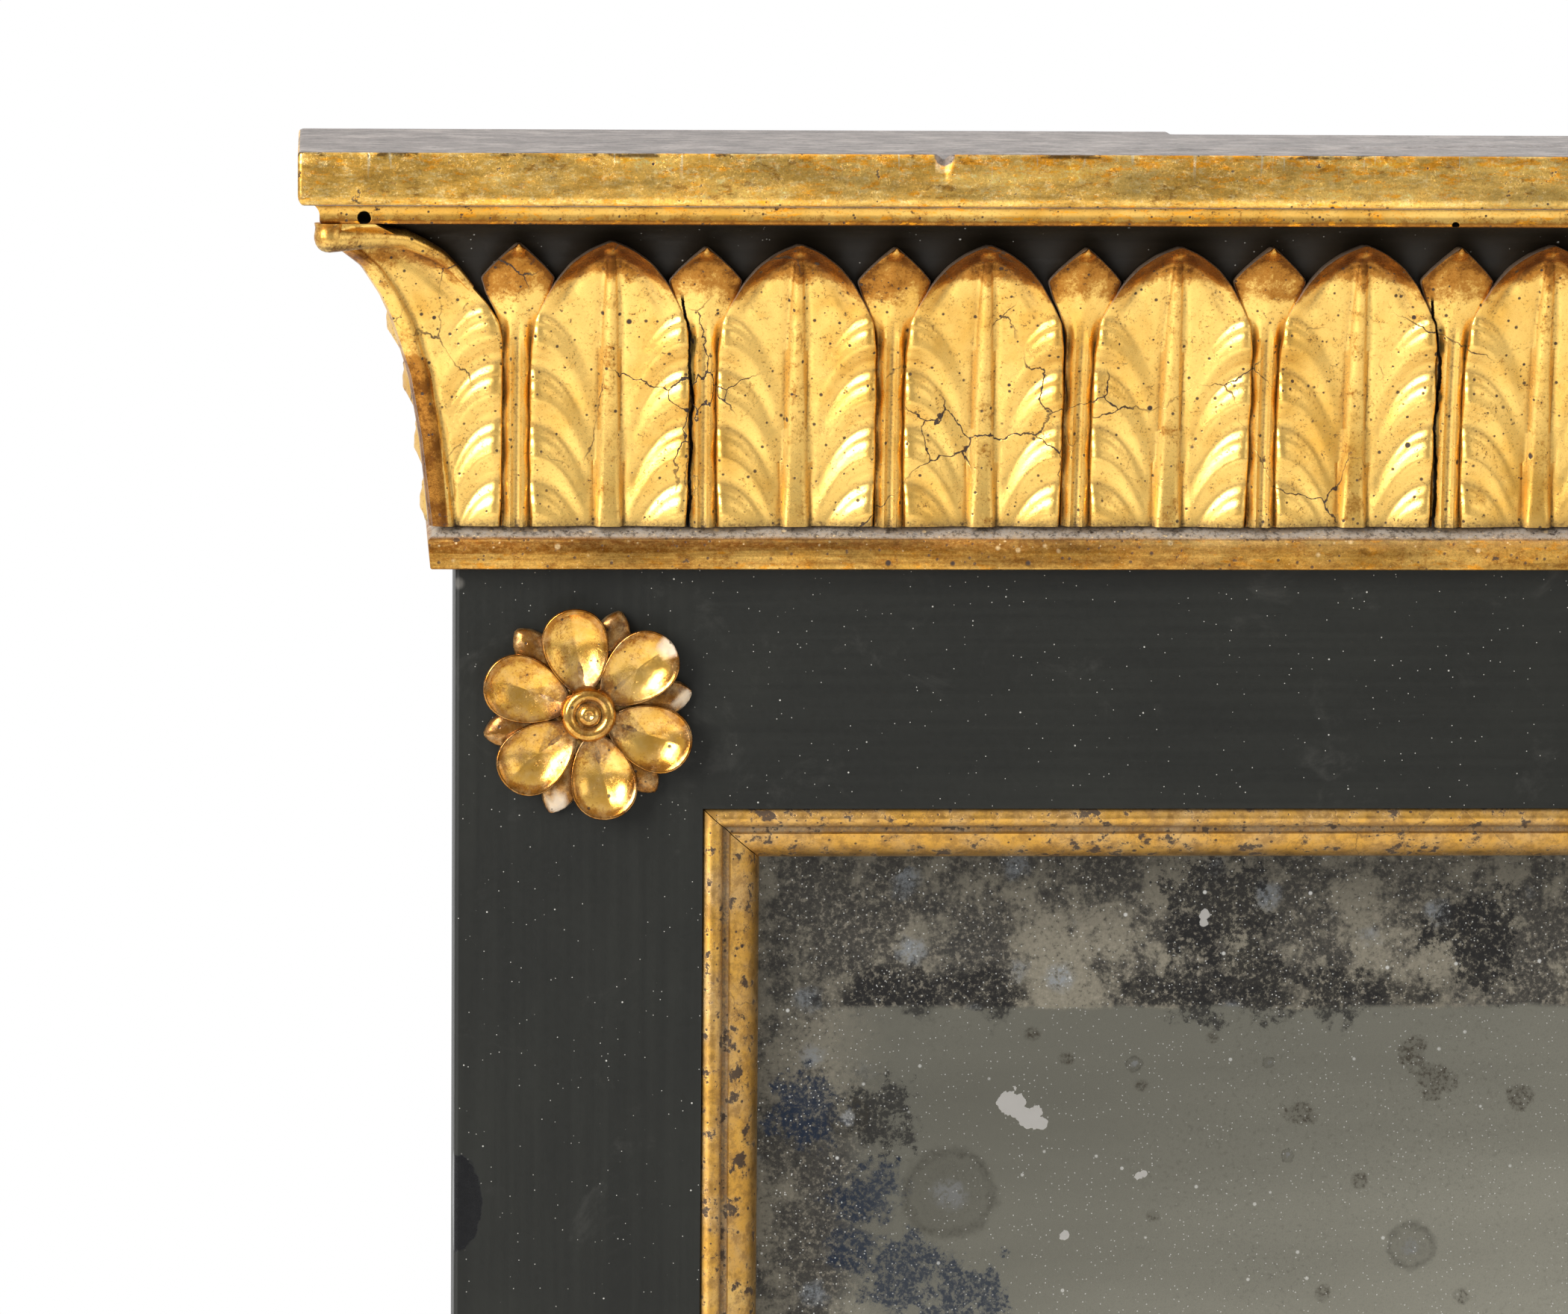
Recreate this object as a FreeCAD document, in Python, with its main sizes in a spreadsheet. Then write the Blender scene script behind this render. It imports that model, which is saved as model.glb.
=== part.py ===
import FreeCAD, Part
import os
import Sketcher

# Overmantel mirror: a painted frame with a gilt cornice, gilt leaves, rosettes and slip.
# +X runs to the viewer's right, +Y to the wall and +Z up.
# The origin is the middle of the underside that stands on the mantel shelf.

# Driving dimensions in millimetres
SIZES = {
    # Painted frame
    "frame_width": 935.0,
    "frame_depth": 41.0,
    "stile_face": 55.2,
    "bottom_rail_face": 55.2,
    "top_rail_face": 54.3,
    "opening_height": 644.2,
    "tenon_thickness": 13.0,
    "tenon_length": 38.0,
    "tenon_shoulder": 14.0,
    "tenon_end_gap": 0.5,
    "peg_radius": 4.0,
    "peg_past_tenon": 3.0,
    "peg_play": 0.05,
    "rebate_width": 9.0,
    "rebate_depth": 12.0,
    # Gilt slip round the glass
    "slip_stile_width": 13.2,
    "slip_rail_width": 12.1,
    "slip_depth": 14.0,
    "slip_bead_width": 4.6,
    "slip_bead_radius": 2.6,
    "slip_bead_drop": 0.9,
    "slip_quirk_width": 1.5,
    "slip_quirk_depth": 2.2,
    "slip_slope_radius": 16.0,
    "slip_lip": 2.5,
    # Mirror plate and back
    "plate_thickness": 3.5,
    "plate_play": 1.5,
    "block_length": 60.0,
    "block_width": 9.0,
    "block_gap": 0.3,
    "board_thickness": 10.0,
    "board_play": 1.0,
    "board_gap": 0.6,
    "nail_length": 18.0,
    "nail_radius": 0.9,
    "nail_head_radius": 2.8,
    "nail_head_height": 0.9,
    "nail_edge": 4.5,
    # Cornice
    "fillet_height": 6.6,
    "fillet_projection": 6.15,
    "fillet_foot_projection": 5.6,
    "ledge_rise": 3.0,
    "cove_foot": 2.2,
    "cove_run": 25.8,
    "cove_height": 68.7,
    "cove_lip_radius": 14.0,
    "crown_seat": 22.0,
    "crown_foot": 30.0,
    "crown_reach": 31.3,
    "crown_height": 4.2,
    "crown_radius": 5.0,
    "board_top_thickness": 11.8,
    "board_top_projection": 34.75,
    "notch_inset": 161.5,
    "notch_depth": 9.0,
    "cove_nail_length": 20.0,
    "cove_nail_height": 16.0,
    # Gilt leaves on the cove
    "leaf_base_projection": 4.6,
    "leaf_corner_pitch": 38.3,
    "leaf_stem_width": 5.8,
    "leaf_glue_gap": 0.1,
    "leaf_thickness": 2.8,
    "leaf_rib_thickness": 3.9,
    "leaf_small_thickness": 1.8,
    "leaf_tip_clear": 3.2,
    "leaf_arch_rise": 18.0,
    "leaf_arch_radius": 30.0,
    "leaf_rib_base_width": 5.6,
    "leaf_rib_tip_width": 1.4,
    "leaf_rib_end_gap": 4.5,
    "leaf_small_width": 13.4,
    "leaf_small_arch_rise": 9.5,
    "leaf_small_arch_radius": 14.0,
    # Gilt rosettes
    "rosette_from_edge": 29.5,
    "rosette_from_fillet": 32.3,
    "rosette_from_base": 29.5,
    "rosette_plate_radius": 13.0,
    "rosette_plate_height": 2.2,
    "petal_centre": 13.0,
    "petal_length": 11.6,
    "petal_width": 8.6,
    "petal_height": 5.6,
    "petal_dish_length": 9.2,
    "petal_dish_width": 6.4,
    "petal_dish_height": 4.6,
    "petal_dish_lift": 6.4,
    "sepal_centre": 16.4,
    "sepal_length": 8.2,
    "sepal_width": 4.4,
    "sepal_height": 3.6,
    "boss_radius": 6.1,
    "boss_height": 6.2,
    "boss_ring_centre": 4.5,
    "boss_ring_section": 1.6,
    "boss_dome_radius": 2.8,
    "pin_radius": 0.9,
    "pin_in_rosette": 4.0,
    "pin_tenon_gap": 2.0,
    # Hangers on the back of the top rail
    "hanger_from_side": 150.0,
    "hanger_below_top": 42.0,
    "hanger_plate_width": 18.0,
    "hanger_plate_length": 52.0,
    "hanger_plate_thickness": 1.8,
    "hanger_ring_gap": 0.6,
    "hanger_ring_wire": 2.0,
    "hanger_ring_radius": 13.0,
    "hanger_bore_play": 0.3,
    "hanger_knuckle_wall": 1.6,
    "hanger_screw_radius": 1.7,
    "hanger_screw_head": 3.6,
    "hanger_screw_head_height": 1.3,
    "hanger_screw_length": 17.0,
    "hanger_screw_first": 26.0,
    "hanger_screw_second": 42.0,
    # Extra length of every cutting shape
    "overrun": 5.0,
}

LEAF_COUNT = 22
STRIP_LEAVES = 4
STRIP_COUNT = 5
BOARD_COUNT = 3
PETAL_COUNT = 6
PETAL_ANGLE = 41.0
FULL_TURN = 360.0
HALF_TURN = 180.0
QUARTER_TURN = 90.0
EIGHTH_TURN = 45.0

# Shares of the length that each row of small pieces follows
SIDE_BLOCK_SHARES = (0.15, 0.5, 0.85)
RAIL_BLOCK_SHARES = (0.12, 0.37, 0.63, 0.88)
BOARD_NAIL_SHARES = (0.14, 0.5, 0.86)
RAIL_NAIL_SHARES = (0.1, 0.3, 0.5, 0.7, 0.9)
COVE_NAIL_SHARES = (0.04, 0.27, 0.5, 0.73, 0.96)
TOP_PEG_SHARES = (0.25, 0.75)
BOTTOM_PEG_SHARES = (0.5,)
SLOPE_START_SHARE = 0.25

# Places worked out from the driving dimensions
PLACES = {
    "front": "-{frame_depth} / 2",
    "back": "{frame_depth} / 2",
    "side": "{frame_width} / 2",
    "opening_side": "{side} - {stile_face}",
    "opening_low": "{bottom_rail_face}",
    "opening_high": "{bottom_rail_face} + {opening_height}",
    "fillet_low": "{opening_high} + {top_rail_face}",
    "ledge_low": "{fillet_low} + {fillet_height}",
    "cove_low": "{ledge_low} + {ledge_rise}",
    "crown_low": "{cove_low} + {cove_height}",
    "frame_top": "{crown_low} + {crown_height}",
    "rebate_floor": "{back} - {rebate_depth}",
    "peg_length": "{back} + {tenon_thickness} / 2 + {peg_past_tenon}",
    "pin_length": "{pin_in_rosette} - {front} - {tenon_thickness} / 2 - {pin_tenon_gap}",
    "plate_front": "{front} + {slip_depth}",
    "plate_back": "{plate_front} + {plate_thickness}",
    "mitre_reach": "{board_top_projection} + {overrun}",
    "cove_body_radius": "({cove_run}^2 + {cove_height}^2 - 2 * {cove_height} * {cove_lip_radius})"
                        " / (2 * ({cove_run} - {cove_lip_radius}))",
    "cove_span": "{cove_body_radius} - {cove_lip_radius}",
    "cove_turn_run": "{cove_body_radius} - {cove_body_radius} * ({cove_body_radius} - {cove_run}) / {cove_span}",
    "cove_turn_rise": "{cove_body_radius} * ({cove_height} - {cove_lip_radius}) / {cove_span}",
    "leaf_tip_height": "{cove_height} - {leaf_tip_clear}",
    "leaf_shoulder_height": "{leaf_tip_height} - {leaf_arch_rise}",
    "leaf_rib_height": "{leaf_tip_height} - {leaf_rib_end_gap}",
    "leaf_small_neck_height": "{leaf_tip_height} - {leaf_small_arch_rise}",
    "leaf_cut_rise": "({leaf_tip_height} + {cove_height}) / 2",
    "leaf_cut_run": "{cove_run} - sqrt({cove_lip_radius}^2"
                    " - ({leaf_cut_rise} - {cove_height} + {cove_lip_radius})^2)",
    "leaf_tip_run": "{cove_run} - sqrt({cove_lip_radius}^2"
                    " - ({leaf_tip_height} - {cove_height} + {cove_lip_radius})^2)",
    "leaf_row": "{frame_width} + 2 * {leaf_base_projection} - 2 * {leaf_corner_pitch}",
    "leaf_pitch": "{leaf_row} / " + str(LEAF_COUNT - 1),
    "leaf_half": "({leaf_pitch} - {leaf_stem_width}) / 2",
    "corner_leaf_edge": "{leaf_row} / 2 + {leaf_half} + {leaf_stem_width}",
    "board_span": "{opening_height} + 2 * {rebate_width} - 2 * {board_play}",
    "board_length": "2 * ({opening_side} + {rebate_width} - {board_play})",
    "board_height": f"({{board_span}} - {BOARD_COUNT - 1} * {{board_gap}}) / {BOARD_COUNT}",
    "board_low": "{opening_low} - {rebate_width} + {board_play}",
    "board_back": "{rebate_floor} + {board_thickness}",
    "hanger_x": "{side} - {hanger_from_side}",
    "hanger_z": "{frame_top} - {hanger_below_top}",
    "ring_offset": "{hanger_plate_thickness} + {hanger_ring_gap} + {hanger_ring_wire}",
    "hanger_bore": "{hanger_ring_wire} + {hanger_bore_play}",
    "ring_y": "{back} + {ring_offset}",
}

document = FreeCAD.newDocument("overmantel_mirror")
sheet = document.addObject("Spreadsheet::Sheet", "Sizes")
for row, (size_name, size_value) in enumerate(SIZES.items(), start=1):
    sheet.set(f"A{row}", size_name)
    sheet.set(f"B{row}", str(size_value))
    sheet.setAlias(f"B{row}", size_name)
document.recompute()

nodes = []


class Lookup(dict):
    """Turns a name in braces into a sheet cell or into the sum that places it."""

    def __missing__(self, name):
        if name in PLACES:
            return f"({expand(PLACES[name])})"
        return f"Sizes.{name}"


def expand(text):
    return text.format_map(Lookup())


def number(text):
    return float(sheet.evalExpression(expand(text)))


def bind(thing, **sizes):
    for name, text in sizes.items():
        thing.setExpression(name, expand(text))


def place(thing, x="0", y="0", z="0"):
    for axis, text in zip("xyz", (x, y, z)):
        thing.setExpression(f"Placement.Base.{axis}", expand(text))
    return thing


def turn(thing, axis, angle):
    thing.Placement = FreeCAD.Placement(FreeCAD.Vector(), FreeCAD.Rotation(axis, angle))


def node(thing, label):
    thing.Label = label
    nodes.append(thing)
    return thing


# Part shapes
AXIS_X = FreeCAD.Vector(1, 0, 0)
AXIS_Y = FreeCAD.Vector(0, 1, 0)
AXIS_Z = FreeCAD.Vector(0, 0, 1)
CYLINDER_TURNS = {"x": (AXIS_Y, QUARTER_TURN), "y": (AXIS_X, -QUARTER_TURN), "z": (AXIS_Z, 0)}


def box(name, low, size):
    block = document.addObject("Part::Box", name)
    bind(block, Length=size[0], Width=size[1], Height=size[2])
    return place(block, *low)


def rod(name, radius, length, base, along):
    rod_shape = document.addObject("Part::Cylinder", name)
    turn(rod_shape, *CYLINDER_TURNS[along])
    bind(rod_shape, Radius=radius, Height=length)
    return place(rod_shape, *base)


def join(name, shapes):
    joined = document.addObject("Part::MultiFuse", name)
    joined.Shapes = shapes
    return joined


def carve(name, base, tools):
    carved = document.addObject("Part::Cut", name)
    carved.Base = base
    carved.Tool = tools[0] if len(tools) == 1 else join(f"{name}_tools", tools)
    return carved


def group(name, shapes):
    set_of_shapes = document.addObject("Part::Compound", name)
    set_of_shapes.Links = shapes
    return set_of_shapes


def copy_at(name, source, x="0", y="0", z="0"):
    return place(group(name, [source]), x, y, z)


def mirror(name, source, normal, x="0", y="0", z="0"):
    mirrored = document.addObject("Part::Mirroring", name)
    mirrored.Source = source
    mirrored.Normal = normal
    for axis, text in zip("xyz", (x, y, z)):
        mirrored.setExpression(f"Base.{axis}", expand(text))
    return mirrored


# Sketched bodies
def arc_between(start, end, radius, side):
    middle = (start + end) * 0.5
    half_chord = (end - start) * 0.5
    across = FreeCAD.Vector(-half_chord.y, half_chord.x, 0).normalize() * side
    rise = radius - (radius**2 - half_chord.Length**2) ** 0.5
    return Part.Arc(start, middle + across * rise, end)


def add_loop(sketch, tag, corners, arcs):
    """Draws a closed outline: arcs maps an edge's number to its radius and the side it bows to."""
    points = [FreeCAD.Vector(number(x), number(y), 0) for x, y in corners]
    edges = []
    for index, start in enumerate(points):
        end = points[(index + 1) % len(points)]
        if index in arcs:
            radius, side = arcs[index]
            shape = arc_between(start, end, number(radius), side)
        else:
            shape = Part.LineSegment(start, end)
        edge = sketch.addGeometry(shape)
        first_is_start = (sketch.getPoint(edge, 1) - start).Length <= (sketch.getPoint(edge, 2) - start).Length
        edges.append((edge, 1, 2) if first_is_start else (edge, 2, 1))
    for index, (edge, start_end, far_end) in enumerate(edges):
        next_edge, next_start, _ = edges[(index + 1) % len(edges)]
        sketch.addConstraint(Sketcher.Constraint("Coincident", edge, far_end, next_edge, next_start))
        for axis, text in zip("XY", corners[index]):
            value = points[index].x if axis == "X" else points[index].y
            rule = Sketcher.Constraint(f"Distance{axis}", -1, 1, edge, start_end, value)
            name_rule(sketch, sketch.addConstraint(rule), f"{tag}_{axis}{index}", text)
        if index in arcs:
            rule = Sketcher.Constraint("Radius", edge, number(arcs[index][0]))
            name_rule(sketch, sketch.addConstraint(rule), f"{tag}_bow{index}", arcs[index][0])


def name_rule(sketch, rule_number, rule_name, text):
    sketch.renameConstraint(rule_number, rule_name)
    sketch.setExpression(f"Constraints.{rule_name}", expand(text))


def new_body(name):
    return document.addObject("PartDesign::Body", name)


def add_sketch(body, name, role, loops, offset=None):
    sketch = body.newObject("Sketcher::SketchObject", name)
    plane = next(feature for feature in body.Origin.OriginFeatures if feature.Role == role)
    sketch.AttachmentSupport = [(plane, "")]
    sketch.MapMode = "FlatFace"
    if offset:
        sketch.setExpression("AttachmentOffset.Base.z", expand(offset))
    for tag, (corners, arcs) in loops.items():
        add_loop(sketch, tag, corners, arcs)
    document.recompute()
    return sketch


def add_pad(body, sketch, length, both_ways=False, backwards=False):
    pad = body.newObject("PartDesign::Pad", f"{body.Name}_pad")
    pad.Profile = sketch
    bind(pad, Length=length)
    pad.SideType = "Symmetric" if both_ways else "One side"
    pad.Reversed = backwards
    document.recompute()
    return pad


def add_pocket(body, sketch):
    """Cuts right through on both sides and makes sure that it removed something."""
    before = body.Shape.Volume
    pocket = body.newObject("PartDesign::Pocket", f"{sketch.Name}_pocket")
    pocket.Profile = sketch
    pocket.Type = "ThroughAll"
    pocket.SideType = "Symmetric"
    document.recompute()
    if body.Shape.Volume >= before:
        raise ValueError(f"{sketch.Name} cuts nothing")
    return pocket


# Painted frame: two stiles, two tenoned rails and the pegs that hold the tenons
def tenon_rows():
    """Gives each rail's name, its tenon's lowest and highest place and its pegs' shares."""
    bottom = ("bottom", "{tenon_shoulder}", "{opening_low} - {tenon_shoulder}", BOTTOM_PEG_SHARES)
    top = ("top", "{opening_high} + {tenon_shoulder}", "{frame_top} - {tenon_shoulder}", TOP_PEG_SHARES)
    return bottom, top


def peg_places(low, high, shares):
    return [f"{low} + {share} * (({high}) - ({low}))" for share in shares]


def peg_rods(name, x, radius):
    rods = []
    for rail, low, high, shares in tenon_rows():
        for count, z in enumerate(peg_places(low, high, shares), start=1):
            base = (x, "{back} - {peg_length}", z)
            rods.append(rod(f"{name}_{rail}_{count}", radius, "{peg_length}", base, "y"))
    return rods


LEFT_PEG_X = "-{opening_side} - {tenon_length} / 2"
RIGHT_PEG_X = "{opening_side} + {tenon_length} / 2"
PEG_HOLE_RADIUS = "{peg_radius} + {peg_play}"


def stiles():
    blank = box("stile_blank", ("-{side}", "{front}", "0"), ("{stile_face}", "{frame_depth}", "{frame_top}"))
    tools = peg_rods("stile_peg_hole", LEFT_PEG_X, PEG_HOLE_RADIUS)
    tools.append(box(
        "stile_rebate",
        ("-{opening_side} - {rebate_width}", "{rebate_floor}", "{opening_low} - {rebate_width}"),
        ("{rebate_width} + {overrun}", "{rebate_depth} + {overrun}", "{opening_height} + 2 * {rebate_width}"),
    ))
    for rail, low, high, _ in tenon_rows():
        tools.append(box(
            f"{rail}_mortise",
            ("-{opening_side} - {tenon_length} - {tenon_end_gap}", "-{tenon_thickness} / 2", low),
            ("{tenon_length} + {tenon_end_gap} + {overrun}", "{tenon_thickness}", f"({high}) - ({low})"),
        ))
    left = node(carve("left_stile", blank, tools), "stile_left")
    node(mirror("right_stile", left, AXIS_X), "stile_right")


def rails():
    spans = {"bottom": ("0", "{opening_low}"), "top": ("{opening_high}", "{frame_top}")}
    rebates = {"bottom": "{opening_low} - {rebate_width}", "top": "{opening_high} - {overrun}"}
    for rail, tenon_low, tenon_high, shares in tenon_rows():
        low, high = spans[rail]
        blank = box(
            f"{rail}_rail_blank",
            ("-{opening_side}", "{front}", low),
            ("2 * {opening_side}", "{frame_depth}", f"({high}) - ({low})"),
        )
        tenon = box(
            f"{rail}_rail_tenon",
            ("-{opening_side} - {tenon_length}", "-{tenon_thickness} / 2", tenon_low),
            ("2 * ({opening_side} + {tenon_length})", "{tenon_thickness}", f"({tenon_high}) - ({tenon_low})"),
        )
        rebate = box(
            f"{rail}_rail_rebate",
            ("-{opening_side} - {overrun}", "{rebate_floor}", rebates[rail]),
            ("2 * ({opening_side} + {overrun})", "{rebate_depth} + {overrun}", "{rebate_width} + {overrun}"),
        )
        tools = [rebate]
        for hand, x in (("left", LEFT_PEG_X), ("right", RIGHT_PEG_X)):
            for count, z in enumerate(peg_places(tenon_low, tenon_high, shares), start=1):
                base = (x, "{back} - {peg_length}", z)
                hole = f"{rail}_rail_{hand}_hole_{count}"
                tools.append(rod(hole, PEG_HOLE_RADIUS, "{peg_length}", base, "y"))
        node(carve(f"{rail}_rail_cut", join(f"{rail}_rail_stock", [blank, tenon]), tools), f"{rail}_rail")


def joint_pegs():
    rods = peg_rods("left_peg", LEFT_PEG_X, "{peg_radius}") + peg_rods("right_peg", RIGHT_PEG_X, "{peg_radius}")
    node(group("peg_set", rods), "joint_pegs")


# Gilt slip: a bead, a quirk and a slope that runs down to the glass
def slip_outline(width):
    """Outline in distance from the frame's inner edge and distance behind its face."""
    scale = f"{width} / {{slip_stile_width}}"
    bead_end = f"{{slip_bead_width}} * {scale}"
    slope_start = f"({{slip_bead_width}} + {{slip_quirk_width}}) * {scale}"
    return [
        ("0", "{slip_depth}"),
        ("0", "{slip_bead_drop}"),
        (bead_end, "{slip_bead_drop}"),
        (bead_end, "{slip_quirk_depth}"),
        (slope_start, "{slip_quirk_depth}"),
        (slope_start, f"{SLOPE_START_SHARE} * {{slip_quirk_depth}} + {{slip_bead_drop}}"),
        (width, "{slip_depth} - {slip_lip}"),
        (width, "{slip_depth}"),
    ]


BEAD_EDGE = 1
SLOPE_EDGE = 5


def slip_body(name, role, corners, bow_side, length, offset, cut_loops):
    arcs = {BEAD_EDGE: ("{slip_bead_radius}", bow_side), SLOPE_EDGE: ("{slip_slope_radius}", bow_side)}
    body = new_body(name)
    sketch = add_sketch(body, f"{name}_profile", role, {"profile": (corners, arcs)}, offset)
    add_pad(body, sketch, length)
    add_pocket(body, add_sketch(body, f"{name}_mitre", "XZ_Plane", cut_loops))
    return body


def slips():
    edge = "-{opening_side}"
    low = "{opening_low}"
    high = "{opening_high}"
    past_x = "{slip_stile_width} * {overrun} / {slip_rail_width}"
    inner = f"{edge} + {{slip_stile_width}} + {past_x}"
    outer = f"{edge} - {past_x}"
    stile_cuts = {
        "low_end": ([(outer, f"{low} - {{overrun}}"), (inner, f"{low} + {{slip_rail_width}} + {{overrun}}"),
                     (inner, f"{low} - {{overrun}}")], {}),
        "high_end": ([(outer, f"{high} + {{overrun}}"), (inner, f"{high} - {{slip_rail_width}} - {{overrun}}"),
                      (inner, f"{high} + {{overrun}}")], {}),
    }
    stile_corners = [(f"{edge} + {q}", f"{{front}} + {d}") for q, d in slip_outline("{slip_stile_width}")]
    left = slip_body("left_slip", "XY_Plane", stile_corners, -1, "{opening_height}", low, stile_cuts)
    node(left, "slip_left")
    node(mirror("right_slip", left, AXIS_X), "slip_right")

    rail_corners = [(f"{{front}} + {d}", f"{low} + {q}") for q, d in slip_outline("{slip_rail_width}")]
    top = f"{low} + {{slip_rail_width}} + {{overrun}}"
    rail_cuts = {}
    for hand, sign in (("left", "-"), ("right", "")):
        rail_cuts[hand] = ([
            (f"{sign}({{opening_side}} + {past_x})", f"{low} - {{overrun}}"),
            (f"{sign}({{opening_side}} - {{slip_stile_width}} - {past_x})", top),
            (f"{sign}({{opening_side}} + {past_x})", top),
        ], {})
    bottom = slip_body("bottom_slip", "YZ_Plane", rail_corners, 1, "2 * {opening_side}", edge, rail_cuts)
    node(bottom, "slip_bottom")
    middle = "({opening_low} + {opening_high}) / 2"
    node(mirror("top_slip", bottom, AXIS_Z, z=middle), "slip_top")


# Mirror plate, the blocks that hold it and the boards that close the back
def mirror_plate():
    plate = box(
        "plate",
        ("-{opening_side} + {plate_play}", "{plate_front}", "{opening_low} + {plate_play}"),
        ("2 * ({opening_side} - {plate_play})", "{plate_thickness}", "{opening_height} - 2 * {plate_play}"),
    )
    node(plate, "mirror_plate")


def plate_blocks():
    depth = "{rebate_floor} - {block_gap} - {plate_back}"
    blocks = []
    for count, share in enumerate(SIDE_BLOCK_SHARES, start=1):
        z = f"{{opening_low}} + {share} * {{opening_height}} - {{block_length}} / 2"
        for hand, x in (("left", "-{opening_side}"), ("right", "{opening_side} - {block_width}")):
            low = (x, "{plate_back}", z)
            blocks.append(box(f"{hand}_block_{count}", low, ("{block_width}", depth, "{block_length}")))
    for count, share in enumerate(RAIL_BLOCK_SHARES, start=1):
        x = f"-{{opening_side}} + {share} * 2 * {{opening_side}} - {{block_length}} / 2"
        for rail, z in (("bottom", "{opening_low}"), ("top", "{opening_high} - {block_width}")):
            low = (x, "{plate_back}", z)
            blocks.append(box(f"{rail}_block_{count}", low, ("{block_length}", depth, "{block_width}")))
    node(group("block_set", blocks), "plate_blocks")


def back_boards():
    for count in range(BOARD_COUNT):
        low = ("-{board_length} / 2", "{rebate_floor}", f"{{board_low}} + {count} * ({{board_height}} + {{board_gap}})")
        board = box(f"board_{count + 1}", low, ("{board_length}", "{board_thickness}", "{board_height}"))
        node(board, f"back_board_{count + 1}")


def back_nails():
    nails = []
    spots = []
    nail_x = "({board_length} / 2 - {nail_edge})"
    for board in range(BOARD_COUNT):
        for share in BOARD_NAIL_SHARES:
            z = f"{{board_low}} + {board} * ({{board_height}} + {{board_gap}}) + {share} * {{board_height}}"
            spots.extend([(f"-{nail_x}", z), (nail_x, z)])
    for share in RAIL_NAIL_SHARES:
        x = f"-{{board_length}} / 2 + {share} * {{board_length}}"
        spots.extend([(x, "{board_low} + {nail_edge}"), (x, "{board_low} + {board_span} - {nail_edge}")])
    for count, (x, z) in enumerate(spots, start=1):
        shank_base = (x, "{board_back} - {nail_length}", z)
        shank = rod(f"nail_shank_{count}", "{nail_radius}", "{nail_length}", shank_base, "y")
        head_base = (x, "{board_back}", z)
        head = rod(f"nail_head_{count}", "{nail_head_radius}", "{nail_head_height}", head_base, "y")
        nails.append(join(f"nail_{count}", [shank, head]))
    node(group("nail_set", nails), "back_nails")


# Cornice: three mitred runs each of fillet, cove and crown bead, under one board
def mitred_runs(label, corners, arcs):
    """Makes the front run and the two returns of a moulding from its outline.

    The outline is given in distance out from the frame and height.
    """
    past = "{mitre_reach}"
    overrun_x = "{side} - {overrun}"
    overrun_y = "{front} + {overrun}"
    front_cuts = {}
    for hand, sign in (("left", "-"), ("right", "")):
        front_cuts[hand] = ([
            (f"{sign}({overrun_x})", overrun_y),
            (f"{sign}({{side}} + {past})", f"{{front}} - {past}"),
            (f"{sign}({{side}} + {past})", overrun_y),
        ], {})
    front = new_body(f"{label}_front_body")
    front_corners = [(f"{{front}} - ({out})", height) for out, height in corners]
    profile = {"profile": (front_corners, {edge: (radius, side) for edge, (radius, side) in arcs.items()})}
    sketch = add_sketch(front, f"{label}_front_profile", "YZ_Plane", profile)
    add_pad(front, sketch, f"2 * ({{side}} + {past})", both_ways=True)
    add_pocket(front, add_sketch(front, f"{label}_front_mitre", "XY_Plane", front_cuts))
    node(front, f"{label}_front")

    side_cut = {"left": ([
        (f"-({overrun_x})", overrun_y),
        (f"-({{side}} + {past})", f"{{front}} - {past}"),
        (f"-({overrun_x})", f"{{front}} - {past}"),
    ], {})}
    left = new_body(f"{label}_left_body")
    side_corners = [(f"-{{side}} - ({out})", height) for out, height in corners]
    sketch = add_sketch(left, f"{label}_left_profile", "XZ_Plane", {"profile": (side_corners, arcs)}, "-{back}")
    add_pad(left, sketch, f"{{frame_depth}} + {past}")
    add_pocket(left, add_sketch(left, f"{label}_left_mitre", "XY_Plane", side_cut))
    node(left, f"{label}_left")
    node(mirror(f"{label}_right_body", left, AXIS_X), f"{label}_right")


COVE_TURN = ("{cove_foot} + {cove_turn_run}", "{cove_low} + {cove_turn_rise}")
COVE_BODY_BOW = ("{cove_body_radius}", -1)
COVE_LIP_BOW = ("{cove_lip_radius}", -1)


def cornice():
    fillet = [
        ("0", "{fillet_low}"),
        ("{fillet_foot_projection}", "{fillet_low}"),
        ("{fillet_projection}", "{ledge_low}"),
        ("{cove_foot}", "{cove_low}"),
        ("0", "{cove_low}"),
    ]
    mitred_runs("base_fillet", fillet, {})
    cove = [
        ("0", "{cove_low}"),
        ("{cove_foot}", "{cove_low}"),
        COVE_TURN,
        ("{cove_foot} + {cove_run}", "{crown_low}"),
        ("{crown_seat}", "{crown_low}"),
        ("{crown_seat}", "{frame_top}"),
        ("0", "{frame_top}"),
    ]
    mitred_runs("cove", cove, {1: COVE_BODY_BOW, 2: COVE_LIP_BOW})
    crown = [
        ("{crown_seat}", "{crown_low}"),
        ("{crown_foot}", "{crown_low}"),
        ("{crown_reach}", "{frame_top}"),
        ("{crown_seat}", "{frame_top}"),
    ]
    mitred_runs("crown_bead", crown, {1: ("{crown_radius}", -1)})


def top_board():
    half = "{side} + {board_top_projection}"
    notch_end = "{side} - {notch_inset}"
    rim = "{front} - {board_top_projection}"
    floor = "{back} - {notch_depth}"
    outline = [
        (f"-({half})", rim),
        (half, rim),
        (half, "{back}"),
        (notch_end, "{back}"),
        (notch_end, floor),
        (f"-({notch_end})", floor),
        (f"-({notch_end})", "{back}"),
        (f"-({half})", "{back}"),
    ]
    body = new_body("top_board_body")
    sketch = add_sketch(body, "top_board_outline", "XY_Plane", {"outline": (outline, {})}, "{frame_top}")
    add_pad(body, sketch, "{board_top_thickness}")
    node(body, "top_board")


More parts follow.
